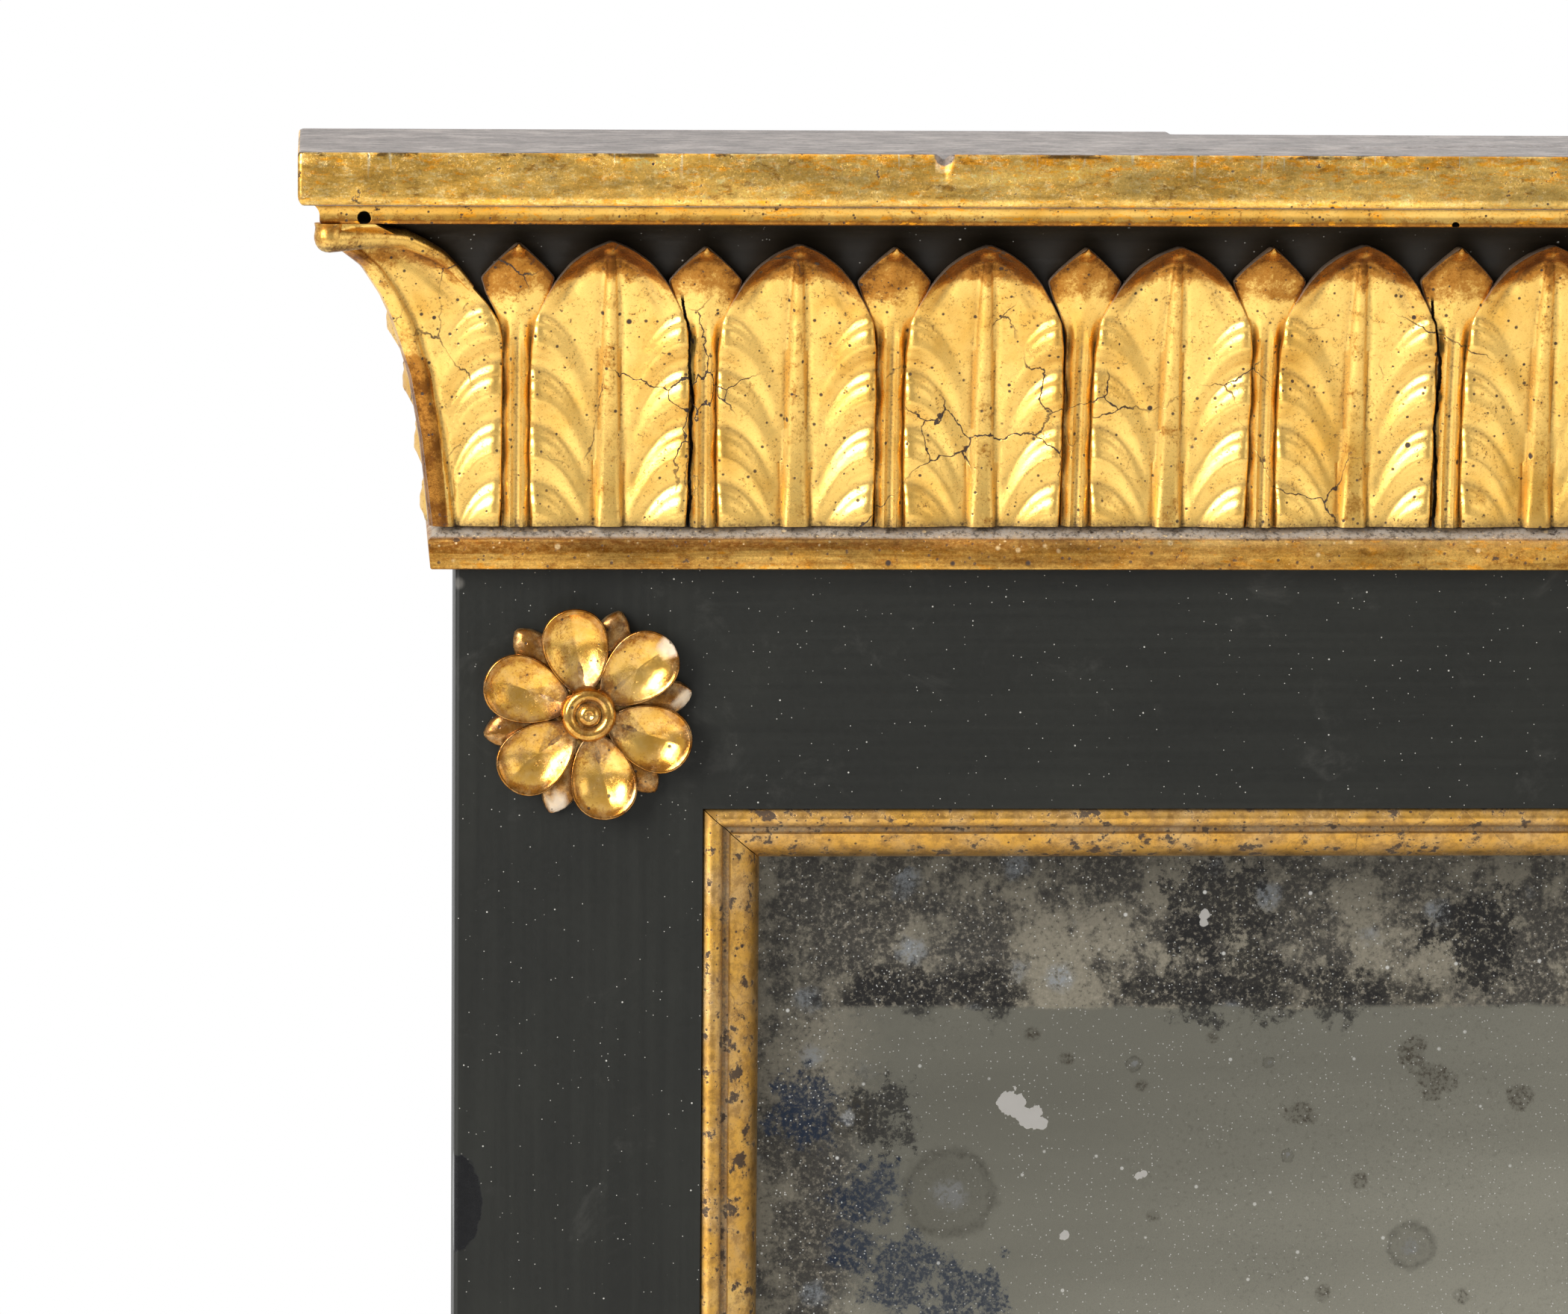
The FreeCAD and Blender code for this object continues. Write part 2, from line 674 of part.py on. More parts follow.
def cornice_nails():
    z = "{cove_low} + {cove_nail_height}"
    depth = "{cove_nail_length}"
    nails = []
    for count, share in enumerate(COVE_NAIL_SHARES, start=1):
        x = f"-{{opening_side}} + {share} * 2 * {{opening_side}}"
        nails.append(rod(f"cove_nail_{count}", "{nail_radius}", depth, (x, "{front} - {cove_foot}", z), "y"))
    for hand, x in (("left", "-{side} - {cove_foot}"), ("right", "{side} + {cove_foot} - {cove_nail_length}")):
        nails.append(rod(f"cove_nail_{hand}", "{nail_radius}", depth, (x, "0", z), "x"))
    node(group("cornice_nail_set", nails), "cornice_nails")


# Gilt leaves: layers that follow the cove, cut to the outline of a leaf
def leaf_layer(name, inner, outer, half_length, corners, arcs, mitre=False):
    """Makes one layer of leaf, from the inner to the outer thickness over the cove."""
    sides = (inner, outer)
    curves = []
    for thickness in sides:
        foot = f"{{cove_foot}} + {thickness}"
        curves.append([
            (f"{{front}} - ({foot})", "{cove_low}"),
            (f"{{front}} - ({foot} + {{cove_turn_run}})", "{cove_low} + {cove_turn_rise}"),
            (f"{{front}} - ({foot} + {{leaf_cut_run}})", "{cove_low} + {leaf_cut_rise}"),
        ])
    section = curves[0] + curves[1][::-1]
    bows = {
        0: ("{cove_body_radius}", -1),
        1: ("{cove_lip_radius}", -1),
        3: ("{cove_lip_radius}", 1),
        4: ("{cove_body_radius}", 1),
    }
    body = new_body(name)
    sketch = add_sketch(body, f"{name}_section", "YZ_Plane", {"section": (section, bows)})
    add_pad(body, sketch, f"2 * ({half_length})", both_ways=True)
    edge = f"({half_length}) + {{overrun}}"
    low = "{cove_low} - {overrun}"
    high = "{crown_low} + {overrun}"
    frame_loop = [(f"-({edge})", low), (edge, low), (edge, high), (f"-({edge})", high)]
    loops = {"outside": (frame_loop, {}), "leaf": (corners, arcs)}
    add_pocket(body, add_sketch(body, f"{name}_outline", "XZ_Plane", loops))
    if mitre:
        past = "{mitre_reach}"
        cut = [
            ("-({side} - {overrun})", "{front} + {overrun}"),
            (f"-({{side}} + {past})", f"{{front}} - {past}"),
            (f"-({{side}} + {past})", "{front} + {overrun}"),
        ]
        add_pocket(body, add_sketch(body, f"{name}_mitre", "XY_Plane", {"cut": (cut, {})}))
    return body


def big_leaf_outline(half):
    tip = "{cove_low} + {leaf_tip_height}"
    shoulder = "{cove_low} + {leaf_shoulder_height}"
    corners = [(f"-{half}", "{cove_low}"), (half, "{cove_low}"), (half, shoulder), ("0", tip), (f"-{half}", shoulder)]
    return corners, {2: ("{leaf_arch_radius}", -1), 3: ("{leaf_arch_radius}", -1)}


def rib_outline():
    base = "{leaf_rib_base_width} / 2"
    tip = "{leaf_rib_tip_width} / 2"
    top = "{cove_low} + {leaf_rib_height}"
    return [(f"-{base}", "{cove_low}"), (base, "{cove_low}"), (tip, top), (f"-{tip}", top)], {}


def small_leaf_outline():
    middle = "-{leaf_pitch} / 2"
    stem = "{leaf_stem_width} / 2"
    head = "{leaf_small_width} / 2"
    shoulder = "{cove_low} + {leaf_shoulder_height}"
    neck = "{cove_low} + {leaf_small_neck_height}"
    tip = "{cove_low} + {leaf_tip_height}"
    corners = [
        (f"{middle} - {stem}", "{cove_low}"),
        (f"{middle} + {stem}", "{cove_low}"),
        (f"{middle} + {stem}", shoulder),
        (f"{middle} + {head}", neck),
        (middle, tip),
        (f"{middle} - {head}", neck),
        (f"{middle} - {stem}", shoulder),
    ]
    return corners, {3: ("{leaf_small_arch_radius}", -1), 4: ("{leaf_small_arch_radius}", -1)}


def corner_leaf_outline():
    """The front half of the leaf that folds over the mitre at the left corner."""
    right = "-{corner_leaf_edge}"
    tip_x = "-{side} - {cove_foot} - {leaf_tip_run} - {leaf_thickness}"
    far = "-{side} - {mitre_reach}"
    shoulder = "{cove_low} + {leaf_shoulder_height}"
    tip = "{cove_low} + {leaf_tip_height}"
    corners = [(far, "{cove_low}"), (right, "{cove_low}"), (right, shoulder), (tip_x, tip), (far, tip)]
    return corners, {2: ("{leaf_arch_radius}", -1)}


def leaves():
    gap = "{leaf_glue_gap}"
    big = leaf_layer("big_leaf", gap, "{leaf_thickness}", "{leaf_half}", *big_leaf_outline("{leaf_half}"))
    rib = leaf_layer("leaf_rib", gap, "{leaf_rib_thickness}", "{leaf_half}", *rib_outline())
    small = leaf_layer("small_leaf", gap, "{leaf_small_thickness}", "{leaf_pitch}", *small_leaf_outline())
    unit = join("leaf_unit", [big, rib, small])
    for strip in range(STRIP_COUNT):
        units = []
        for leaf in range(STRIP_LEAVES):
            step = 1 + strip * STRIP_LEAVES + leaf
            x = f"-{{leaf_row}} / 2 + {step} * {{leaf_pitch}}"
            units.append(copy_at(f"leaf_{step + 1}", unit, x))
        node(join(f"strip_{strip + 1}", units), f"leaf_strip_{strip + 1}")

    corner_span = "{side} + {mitre_reach}"
    corner = leaf_layer("corner_half", gap, "{leaf_thickness}", corner_span, *corner_leaf_outline(), mitre=True)
    mitre_normal = FreeCAD.Vector(1, -1, 0)
    corner_side = mirror("corner_side_half", corner, mitre_normal, "-{side}", "{front}")
    first = copy_at("leaf_1", unit, "-{leaf_row} / 2")
    left = node(join("left_corner_leaves", [first, corner, corner_side]), "leaf_corner_left")
    last_small = copy_at("last_small_leaf", small, "{leaf_row} / 2")
    mirrored = mirror("right_corner_leaves", left, AXIS_X)
    node(join("right_corner_with_small", [mirrored, last_small]), "leaf_corner_right")

    side_unit = mirror("side_leaf", first, mitre_normal, "-{side}", "{front}")
    behind = box(
        "behind_frame",
        ("-{side} - {mitre_reach}", "{back}", "{cove_low}"),
        ("{mitre_reach}", "{leaf_pitch}", "{cove_height}"),
    )
    side_left = node(carve("left_side_leaves", side_unit, [behind]), "leaf_return_left")
    node(mirror("right_side_leaves", side_left, AXIS_X), "leaf_return_right")


# Rosettes: dished petals over sepals, with a ringed boss
def ellipsoid(name, radii, centre, angle):
    """Radii run along the petal, across it and out from the frame."""
    swelling = document.addObject("Part::Ellipsoid", name)
    turn(swelling, AXIS_Z, angle)
    bind(swelling, Radius2=radii[0], Radius3=radii[1], Radius1=radii[2])
    reach, lift = centre
    return place(swelling, f"{reach} * cos({angle} deg)", f"{reach} * sin({angle} deg)", lift)


def rosette_shape():
    solids = [rod("rosette_plate", "{rosette_plate_radius}", "{rosette_plate_height}", ("0", "0", "0"), "z")]
    dishes = []
    step = FULL_TURN / PETAL_COUNT
    for count in range(PETAL_COUNT):
        angle = PETAL_ANGLE + count * step
        petal = ("{petal_length}", "{petal_width}", "{petal_height}")
        dish = ("{petal_dish_length}", "{petal_dish_width}", "{petal_dish_height}")
        sepal = ("{sepal_length}", "{sepal_width}", "{sepal_height}")
        solids.append(ellipsoid(f"petal_{count + 1}", petal, ("{petal_centre}", "0"), angle))
        dishes.append(ellipsoid(f"dish_{count + 1}", dish, ("{petal_centre}", "{petal_dish_lift}"), angle))
        solids.append(ellipsoid(f"sepal_{count + 1}", sepal, ("{sepal_centre}", "0"), angle + step / 2))
    reach = "{sepal_centre} + {petal_length}"
    under = box("under_rosette", (f"-({reach})", f"-({reach})", "-{petal_height}"),
                (f"2 * ({reach})", f"2 * ({reach})", "{petal_height}"))
    petals = carve("rosette_petals", join("rosette_swellings", solids), dishes + [under])
    boss = rod("rosette_boss", "{boss_radius}", "{boss_height}", ("0", "0", "0"), "z")
    ring = document.addObject("Part::Torus", "rosette_ring")
    bind(ring, Radius1="{boss_ring_centre}", Radius2="{boss_ring_section}")
    place(ring, "0", "0", "{boss_height}")
    dome = document.addObject("Part::Sphere", "rosette_dome")
    bind(dome, Radius="{boss_dome_radius}")
    place(dome, "0", "0", "{boss_height} - {boss_ring_section} / 2")
    return join("rosette_shape", [petals, boss, ring, dome])


def rosettes():
    shape = rosette_shape()
    x = "{side} - {rosette_from_edge}"
    heights = {"top": "{fillet_low} - {rosette_from_fillet}", "bottom": "{rosette_from_base}"}
    pins = []
    for row, z in heights.items():
        for hand, sign in (("left", "-"), ("right", "")):
            name = f"rosette_{row}_{hand}"
            rosette = group(f"{name}_set", [shape])
            turn(rosette, AXIS_X, QUARTER_TURN)
            node(place(rosette, f"{sign}({x})", "{front}", z), name)
            pin_base = (f"{sign}({x})", "{front} - {pin_in_rosette}", z)
            pins.append(rod(f"{name}_pin", "{pin_radius}", "{pin_length}", pin_base, "y"))
    node(group("pin_set", pins), "rosette_pins")


# Hangers: an iron plate with a rolled knuckle, and a ring that swings in it
def hangers():
    half_plate = "{hanger_plate_width} / 2"
    knuckle_radius = "{hanger_bore} + {hanger_knuckle_wall}"
    strap = box(
        "hanger_strap",
        (f"{{hanger_x}} - {half_plate}", "{back}", "{hanger_z} - {hanger_plate_length}"),
        ("{hanger_plate_width}", "{hanger_plate_thickness}", "{hanger_plate_length}"),
    )
    knuckle_low = (f"{{hanger_x}} - {half_plate}", "{ring_y}", "{hanger_z}")
    knuckle = rod("hanger_knuckle", knuckle_radius, "{hanger_plate_width}", knuckle_low, "x")
    bore_low = (f"{{hanger_x}} - {half_plate} - {{overrun}}", "{ring_y}", "{hanger_z}")
    holes = [rod("hanger_bore", "{hanger_bore}", "{hanger_plate_width} + 2 * {overrun}", bore_low, "x")]
    screws = []
    for count, drop in enumerate(("{hanger_screw_first}", "{hanger_screw_second}"), start=1):
        z = f"{{hanger_z}} - {drop}"
        hole_base = ("{hanger_x}", "{back} - {overrun}", z)
        holes.append(rod(f"screw_hole_{count}", "{hanger_screw_radius}", "{hanger_screw_length}", hole_base, "y"))
        seat = "{back} + {hanger_plate_thickness}"
        shank_base = ("{hanger_x}", f"{seat} - {{hanger_screw_length}}", z)
        shank = rod(f"screw_shank_{count}", "{hanger_screw_radius}", "{hanger_screw_length}", shank_base, "y")
        head_base = ("{hanger_x}", seat, z)
        head = rod(f"screw_head_{count}", "{hanger_screw_head}", "{hanger_screw_head_height}", head_base, "y")
        screws.append(join(f"screw_{count}", [shank, head]))
    plate = carve("hanger_plate", join("hanger_stock", [strap, knuckle]), holes)
    node(mirror("left_hanger_plate", plate, AXIS_X), "hanger_plate_left")
    node(plate, "hanger_plate_right")

    ring = ring_shape()
    node(mirror("left_ring", ring, AXIS_X), "hanger_ring_left")
    node(ring, "hanger_ring_right")
    left_screws = [mirror(f"left_{screw.Name}", screw, AXIS_X) for screw in screws]
    node(group("screw_set", screws + left_screws), "hanger_screws")


def ring_shape():
    """A straight bar in the knuckle, closed by a half ring that hangs below it."""
    bar_low = ("{hanger_x} - {hanger_ring_radius}", "{ring_y}", "{hanger_z}")
    pieces = [rod("ring_bar", "{hanger_ring_wire}", "2 * {hanger_ring_radius}", bar_low, "x")]
    bow = document.addObject("Part::Torus", "ring_bow")
    turn(bow, AXIS_X, -QUARTER_TURN)
    bind(bow, Radius1="{hanger_ring_radius}", Radius2="{hanger_ring_wire}")
    bow.Angle3 = HALF_TURN
    pieces.append(place(bow, "{hanger_x}", "{ring_y}", "{hanger_z}"))
    for hand, sign in (("left", "-"), ("right", "+")):
        corner = document.addObject("Part::Sphere", f"ring_corner_{hand}")
        bind(corner, Radius="{hanger_ring_wire}")
        pieces.append(place(corner, f"{{hanger_x}} {sign} {{hanger_ring_radius}}", "{ring_y}", "{hanger_z}"))
    return join("ring", pieces)


def check(things):
    for thing in document.Objects:
        if "Invalid" in thing.State or "Error" in thing.State:
            raise ValueError(f"{thing.Name} failed: {thing.State}")
    for thing in things:
        if thing.Shape.isNull() or not thing.Shape.isValid() or not thing.Shape.Solids:
            raise ValueError(f"{thing.Label} has no valid solid")


def write(things):
    os.makedirs("parts", exist_ok=True)
    for thing in things:
        thing.Shape.exportStep(f"parts/{thing.Label}.step")
        print(thing.Label, len(thing.Shape.Solids), round(thing.Shape.Volume))


for build in (stiles, rails, joint_pegs, slips, mirror_plate, plate_blocks, back_boards, back_nails,
              cornice, top_board, cornice_nails, leaves, rosettes, hangers):
    build()
document.recompute()
check(nodes)
write(nodes)
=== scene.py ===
import math
from contextlib import contextmanager

import bmesh
import bpy
import numpy as np
from bpy.props import FloatProperty, FloatVectorProperty, IntProperty, PointerProperty
from mathutils import Matrix, Vector, noise


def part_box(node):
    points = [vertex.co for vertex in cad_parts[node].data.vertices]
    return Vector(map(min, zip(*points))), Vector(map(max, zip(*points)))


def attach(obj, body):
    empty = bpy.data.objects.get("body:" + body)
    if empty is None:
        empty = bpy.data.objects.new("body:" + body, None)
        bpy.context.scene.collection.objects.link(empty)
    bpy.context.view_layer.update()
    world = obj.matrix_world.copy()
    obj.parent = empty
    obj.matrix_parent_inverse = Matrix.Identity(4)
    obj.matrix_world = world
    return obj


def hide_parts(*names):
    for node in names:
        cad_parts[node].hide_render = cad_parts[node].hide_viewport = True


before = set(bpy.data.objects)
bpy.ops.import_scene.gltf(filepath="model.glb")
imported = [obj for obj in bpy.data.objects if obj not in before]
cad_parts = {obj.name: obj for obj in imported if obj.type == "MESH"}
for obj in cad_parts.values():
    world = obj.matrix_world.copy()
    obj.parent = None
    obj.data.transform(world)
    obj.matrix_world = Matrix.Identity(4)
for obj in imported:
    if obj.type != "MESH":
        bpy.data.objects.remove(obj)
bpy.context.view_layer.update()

bl_info = {
    "name": "Overmantel mirror",
    "version": (1, 0, 0),
    "blender": (4, 5, 0),
    "location": "View3D > Sidebar > Mirror",
    "description": "Dresses the packed mirror with carving, gilding, paint and old glass",
    "category": "Object",
}

MM = 0.001


def low(node):
    """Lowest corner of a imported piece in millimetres."""
    return [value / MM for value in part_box(node)[0]]


def high(node):
    """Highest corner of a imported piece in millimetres."""
    return [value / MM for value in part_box(node)[1]]


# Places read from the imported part, and a few sizes that its boxes don't give, in millimetres
SIDE = high("stile_right")[0]
FRONT = low("stile_left")[1]
BACK = high("stile_left")[1]
OPENING = low("stile_right")[0]
OPENING_LOW = high("bottom_rail")[2]
OPENING_HIGH = low("top_rail")[2]
FILLET_LOW = low("base_fillet_front")[2]
COVE_LOW = high("base_fillet_front")[2]
CROWN_LOW = low("crown_bead_front")[2]
BOARD_LOW = low("top_board")[2]
BOARD_HIGH = high("top_board")[2]
FILLET_OUT = FRONT - low("base_fillet_front")[1]
COVE_OUT = FRONT - low("cove_front")[1]
CROWN_OUT = FRONT - low("crown_bead_front")[1]
BOARD_OUT = FRONT - low("top_board")[1]
SLIP_STILE = high("slip_left")[0] - low("slip_left")[0]
SLIP_RAIL = high("slip_bottom")[2] - low("slip_bottom")[2]
GLASS_FRONT = low("mirror_plate")[1]
COVE_HEIGHT = CROWN_LOW - COVE_LOW
COVE_FOOT = 2.2
COVE_LIP = 14.0
LEDGE_RISE = 3.0
FILLET_FOOT_OUT = FILLET_OUT - 0.55
LEAF_STEM = 5.8
STRIP_LEAVES = 4
STRIP_COUNT = 5
LEAF_PITCH = (low("leaf_strip_2")[0] - low("leaf_strip_1")[0]) / STRIP_LEAVES
LEAF_HALF = (LEAF_PITCH - LEAF_STEM) / 2
FIRST_LEAF = high("leaf_strip_1")[0] - LEAF_HALF - STRIP_LEAVES * LEAF_PITCH
CORNER_EDGE = FIRST_LEAF - LEAF_HALF - LEAF_STEM
SMALL_SHIFT = 0.25

# Camera of the photograph: focal length and width in pixels, and the width of its sensor in millimetres
FOCAL_PIXELS = 11000
PHOTO_WIDTH = 2100
SENSOR_WIDTH = 36

# Radius of the floor of the stage in metres
FLOOR_RADIUS = 2.2

# Marks that a gilt mesh carries for its finish, and the turn in degrees that stays sharp on carving
MARKS = ("recess", "amber", "dust", "chip")
CARVED = 60


# Settings that a user may change
class CarvingSettings(bpy.types.PropertyGroup):
    lobe_height: FloatProperty(
        name="Lobe height", description="How far the lobes of a leaf stand out at its edge",
        default=2.6 * MM, min=0, unit="LENGTH", precision=5)
    midrib_height: FloatProperty(
        name="Midrib height", description="How far the midrib stands out at the foot of a leaf",
        default=1.6 * MM, min=0, unit="LENGTH", precision=5)
    tip_curl: FloatProperty(
        name="Tip curl", description="How far the tip of a leaf curls forward",
        default=3.8 * MM, min=0, unit="LENGTH", precision=5)
    size_spread: FloatProperty(
        name="Size spread", description="Greatest share by which one leaf is smaller than the next",
        default=0.018, min=0, max=0.1, subtype="FACTOR")
    lean_spread: FloatProperty(
        name="Lean spread", description="Greatest lean of a leaf to either side",
        default=math.radians(0.5), subtype="ANGLE")
    seed: IntProperty(
        name="Seed", description="Start of the row of chances for leaves and petals", default=7)


class RosetteSettings(bpy.types.PropertyGroup):
    petals: IntProperty(name="Petals", description="Number of petals of a rosette", default=6, min=3)
    first_angle: FloatProperty(
        name="First petal", description="Turn of the first petal from the right-hand side",
        default=math.radians(41), subtype="ANGLE")
    petal_rise: FloatProperty(
        name="Petal rise", description="How far a petal's rim stands above its hollow",
        default=3.4 * MM, unit="LENGTH", precision=5)


class FinishSettings(bpy.types.PropertyGroup):
    gold_light: FloatVectorProperty(
        name="Light gold", description="Gold leaf where it is least worn", subtype="COLOR", size=4,
        default=(0.9, 0.575, 0.155, 1), min=0, max=1)
    gold_deep: FloatVectorProperty(
        name="Deep gold", description="Gold leaf under old varnish", subtype="COLOR", size=4,
        default=(0.7, 0.37, 0.06, 1), min=0, max=1)
    paint: FloatVectorProperty(
        name="Frame paint", description="Dark paint of the frame and the cove", subtype="COLOR", size=4,
        default=(0.0085, 0.0088, 0.0066, 1), min=0, max=1)
    silver: FloatVectorProperty(
        name="Silvering", description="Clear part of the old silvering", subtype="COLOR", size=4,
        default=(0.345, 0.33, 0.265, 1), min=0, max=1)
    pine: FloatVectorProperty(
        name="Pine", description="Bare wood of the back", subtype="COLOR", size=4,
        default=(0.36, 0.2, 0.085, 1), min=0, max=1)


class StageSettings(bpy.types.PropertyGroup):
    lens: FloatProperty(
        name="Lens", description="Focal length of the camera", subtype="DISTANCE_CAMERA",
        default=FOCAL_PIXELS / PHOTO_WIDTH * SENSOR_WIDTH)
    place: FloatVectorProperty(
        name="Camera place", description="Where the camera stands", subtype="TRANSLATION", unit="LENGTH",
        default=(-0.4967, -1.828, 0.9714), precision=4)
    turn: FloatVectorProperty(
        name="Camera turn", description="Camera's turn to the right, its dip and its roll", subtype="EULER",
        unit="ROTATION", default=(math.radians(3.238), math.radians(7.485), math.radians(-0.439)))
    key_power: FloatProperty(
        name="Key light", description="Power of the main soft light", default=105, unit="POWER")
    fill_power: FloatProperty(
        name="Fill light", description="Power of the soft light on the other side", default=9, unit="POWER")


SETTING_GROUPS = {
    "mirror_carving": CarvingSettings,
    "mirror_rosette": RosetteSettings,
    "mirror_finish": FinishSettings,
    "mirror_stage": StageSettings,
}


def setting(group):
    return getattr(bpy.context.scene, group)


# Meshes
def new_object(name, mesh):
    thing = bpy.data.objects.new(name, mesh)
    bpy.context.scene.collection.objects.link(thing)
    return thing


def shade(mesh, sharp):
    """Smooths a mesh but for the edges that turn by more than the given degrees."""
    mesh.polygons.foreach_set("use_smooth", [True] * len(mesh.polygons))
    mesh.set_sharp_from_angle(angle=math.radians(sharp))


@contextmanager
def editing(mesh):
    """Opens a mesh for editing and writes it back."""
    shell = bmesh.new()
    shell.from_mesh(mesh)
    yield shell
    shell.to_mesh(mesh)
    shell.free()


def skin(name, points, faces, marks=None, sharp=CARVED):
    """Makes a closed mesh from points in millimetres. A gilt one has marks, nothing where not given."""
    mesh = bpy.data.meshes.new(name)
    mesh.from_pydata([tuple(point) for point in np.asarray(points) * MM], [], faces)
    if marks is not None:
        for mark in MARKS:
            layer = mesh.attributes.new(mark, "FLOAT", "POINT")
            layer.data.foreach_set("value", np.full(len(points), marks.get(mark, 0), np.float32))
    with editing(mesh) as shell:
        bmesh.ops.recalc_face_normals(shell, faces=shell.faces)
    shade(mesh, sharp)
    return mesh


def ring_faces(rings, length, closed=True):
    """Faces between rings of points, and flat ends."""
    faces = []
    span = length if closed else length - 1
    for row in range(rings - 1):
        base = row * length
        for place in range(span):
            after = (place + 1) % length
            faces.append((base + place, base + after, base + length + after, base + length + place))
    faces.append(tuple(range(length)))
    faces.append(tuple((rings - 1) * length + place for place in range(length)))
    return faces


def rounded(corners, steps=5):
    """Rounds the corners of an outline. A corner is its place, its radius and its marks."""
    places, marks = [], []
    count = len(corners)
    for index, (across, up, radius, mark) in enumerate(corners):
        corner = Vector((across, up))
        if radius <= 0:
            places.append((across, up))
            marks.append(mark)
            continue
        before = (Vector(corners[index - 1][:2]) - corner).normalized()
        after = (Vector(corners[(index + 1) % count][:2]) - corner).normalized()
        half = before.angle(after) / 2
        start = corner + before * radius / math.tan(half)
        end = corner + after * radius / math.tan(half)
        centre = corner + (before + after).normalized() * radius / math.sin(half)
        first = math.atan2(*(start - centre).yx)
        turn = math.remainder(math.atan2(*(end - centre).yx) - first, math.tau)
        for step in range(steps + 1):
            angle = first + turn * step / steps
            places.append((centre.x + radius * math.cos(angle), centre.y + radius * math.sin(angle)))
            marks.append(mark)
    return np.array(places), np.array(marks)


def arc(start, end, rise, steps):
    """Points of a bow from start to end, standing out by rise at its middle."""
    start, end = np.array(start, float), np.array(end, float)
    along = end - start
    normal = np.array((-along[1], along[0])) / np.hypot(*along)
    share = np.linspace(0, 1, steps + 1)[:, None]
    return start + along * share + normal * rise * 4 * share * (1 - share)


def finished(thing, nodes, body="frame"):
    """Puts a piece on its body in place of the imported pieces."""
    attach(thing, body)
    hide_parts(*nodes)
    return thing


def evaluated(thing, name):
    """Turns an object with modifiers into a plain mesh object and removes the first one."""
    bpy.context.view_layer.update()
    graph = bpy.context.evaluated_depsgraph_get()
    mesh = bpy.data.meshes.new_from_object(thing.evaluated_get(graph))
    mesh.name = name
    bpy.data.objects.remove(thing)
    return new_object(name, mesh)


def joined_mesh(name, meshes):
    """Joins meshes into one."""
    shell = bmesh.new()
    for mesh in meshes:
        shell.from_mesh(mesh)
    whole = bpy.data.meshes.new(name)
    shell.to_mesh(whole)
    shell.free()
    shade(whole, CARVED)
    return whole


def merged(name, things):
    """Joins plain mesh objects that share their material into one."""
    mesh = joined_mesh(name, [thing.data for thing in things])
    mesh.materials.append(things[0].data.materials[0])
    for thing in things:
        bpy.data.objects.remove(thing)
    return new_object(name, mesh)


# Shader nodes
class Net:
    """Adds nodes to a tree and links them."""

    def __init__(self, tree):
        self.tree = tree

    def put(self, socket, value):
        if isinstance(value, bpy.types.NodeSocket):
            self.tree.links.new(value, socket)
        elif value is not None:
            socket.default_value = value[:3] if socket.type == "VECTOR" else value

    def add(self, kind, *values, **settings):
        node = self.tree.nodes.new(kind)
        for name, value in settings.items():
            setattr(node, name, value)
        for index, value in enumerate(values):
            self.put(node.inputs[index], value)
        return node

    def fill(self, node, values):
        """Gives values to a node's inputs by their names."""
        for name, value in values.items():
            self.put(node.inputs[name], value)
        return node.outputs

    def math(self, kind, *values):
        return self.add("ShaderNodeMath", *values, operation=kind).outputs[0]

    def plus(self, *values):
        return self.math("ADD", *values)

    def minus(self, *values):
        return self.math("SUBTRACT", *values)

    def times(self, *values):
        return self.math("MULTIPLY", *values)

    def vector(self, kind, *values):
        node = self.add("ShaderNodeVectorMath", *values, operation=kind)
        return node.outputs["Value"] if kind in ("DISTANCE", "LENGTH") else node.outputs["Vector"]

    def mix(self, share, first, second, blend="MIX"):
        node = self.add("ShaderNodeMix", share, data_type="RGBA", blend_type=blend)
        self.put(node.inputs[6], first)
        self.put(node.inputs[7], second)
        return node.outputs[2]

    def step(self, value, start, end, first=0.0, last=1.0):
        return self.add("ShaderNodeMapRange", value, start, end, first, last,
                        interpolation_type="SMOOTHSTEP").outputs[0]

    def noise(self, place, scale, detail=4.0, rough=0.55, bend=0.0):
        return self.fill(self.add("ShaderNodeTexNoise"), {
            "Vector": place, "Scale": scale, "Detail": detail, "Roughness": rough, "Distortion": bend})[0]

    def streaks(self, place, stretch, *form):
        """Noise with its own scale along each axis."""
        return self.noise(self.vector("MULTIPLY", place, stretch), 1.0, *form)

    def specks(self, place, scale, size, share):
        return self.group(specks_group(), Place=place, Scale=scale, Size=size, Share=share)["Mask"]

    def cells(self, place, scale, feature="F1"):
        node = self.add("ShaderNodeTexVoronoi", feature=feature)
        return self.fill(node, {"Vector": place, "Scale": scale})

    def mark(self, name):
        return self.add("ShaderNodeAttribute", attribute_name=name).outputs["Fac"]

    def group(self, tree, **values):
        return self.fill(self.add("ShaderNodeGroup", node_tree=tree), values)

    def most(self, *values):
        result = values[0]
        for value in values[1:]:
            result = self.math("MAXIMUM", result, value)
        return result

    def spot(self, place, centre, size, soft, ragged, scale=0.35):
        """Mask of a ragged spot: one inside its size, falling to nothing over the soft distance."""
        reach = self.vector("DISTANCE", place, centre)
        bent = self.plus(reach, self.times(self.minus(ragged, 0.5), size * scale * 4))
        return self.step(bent, size + soft, size)


VECTOR, COLOUR, VALUE = "NodeSocketVector", "NodeSocketColor", "NodeSocketFloat"


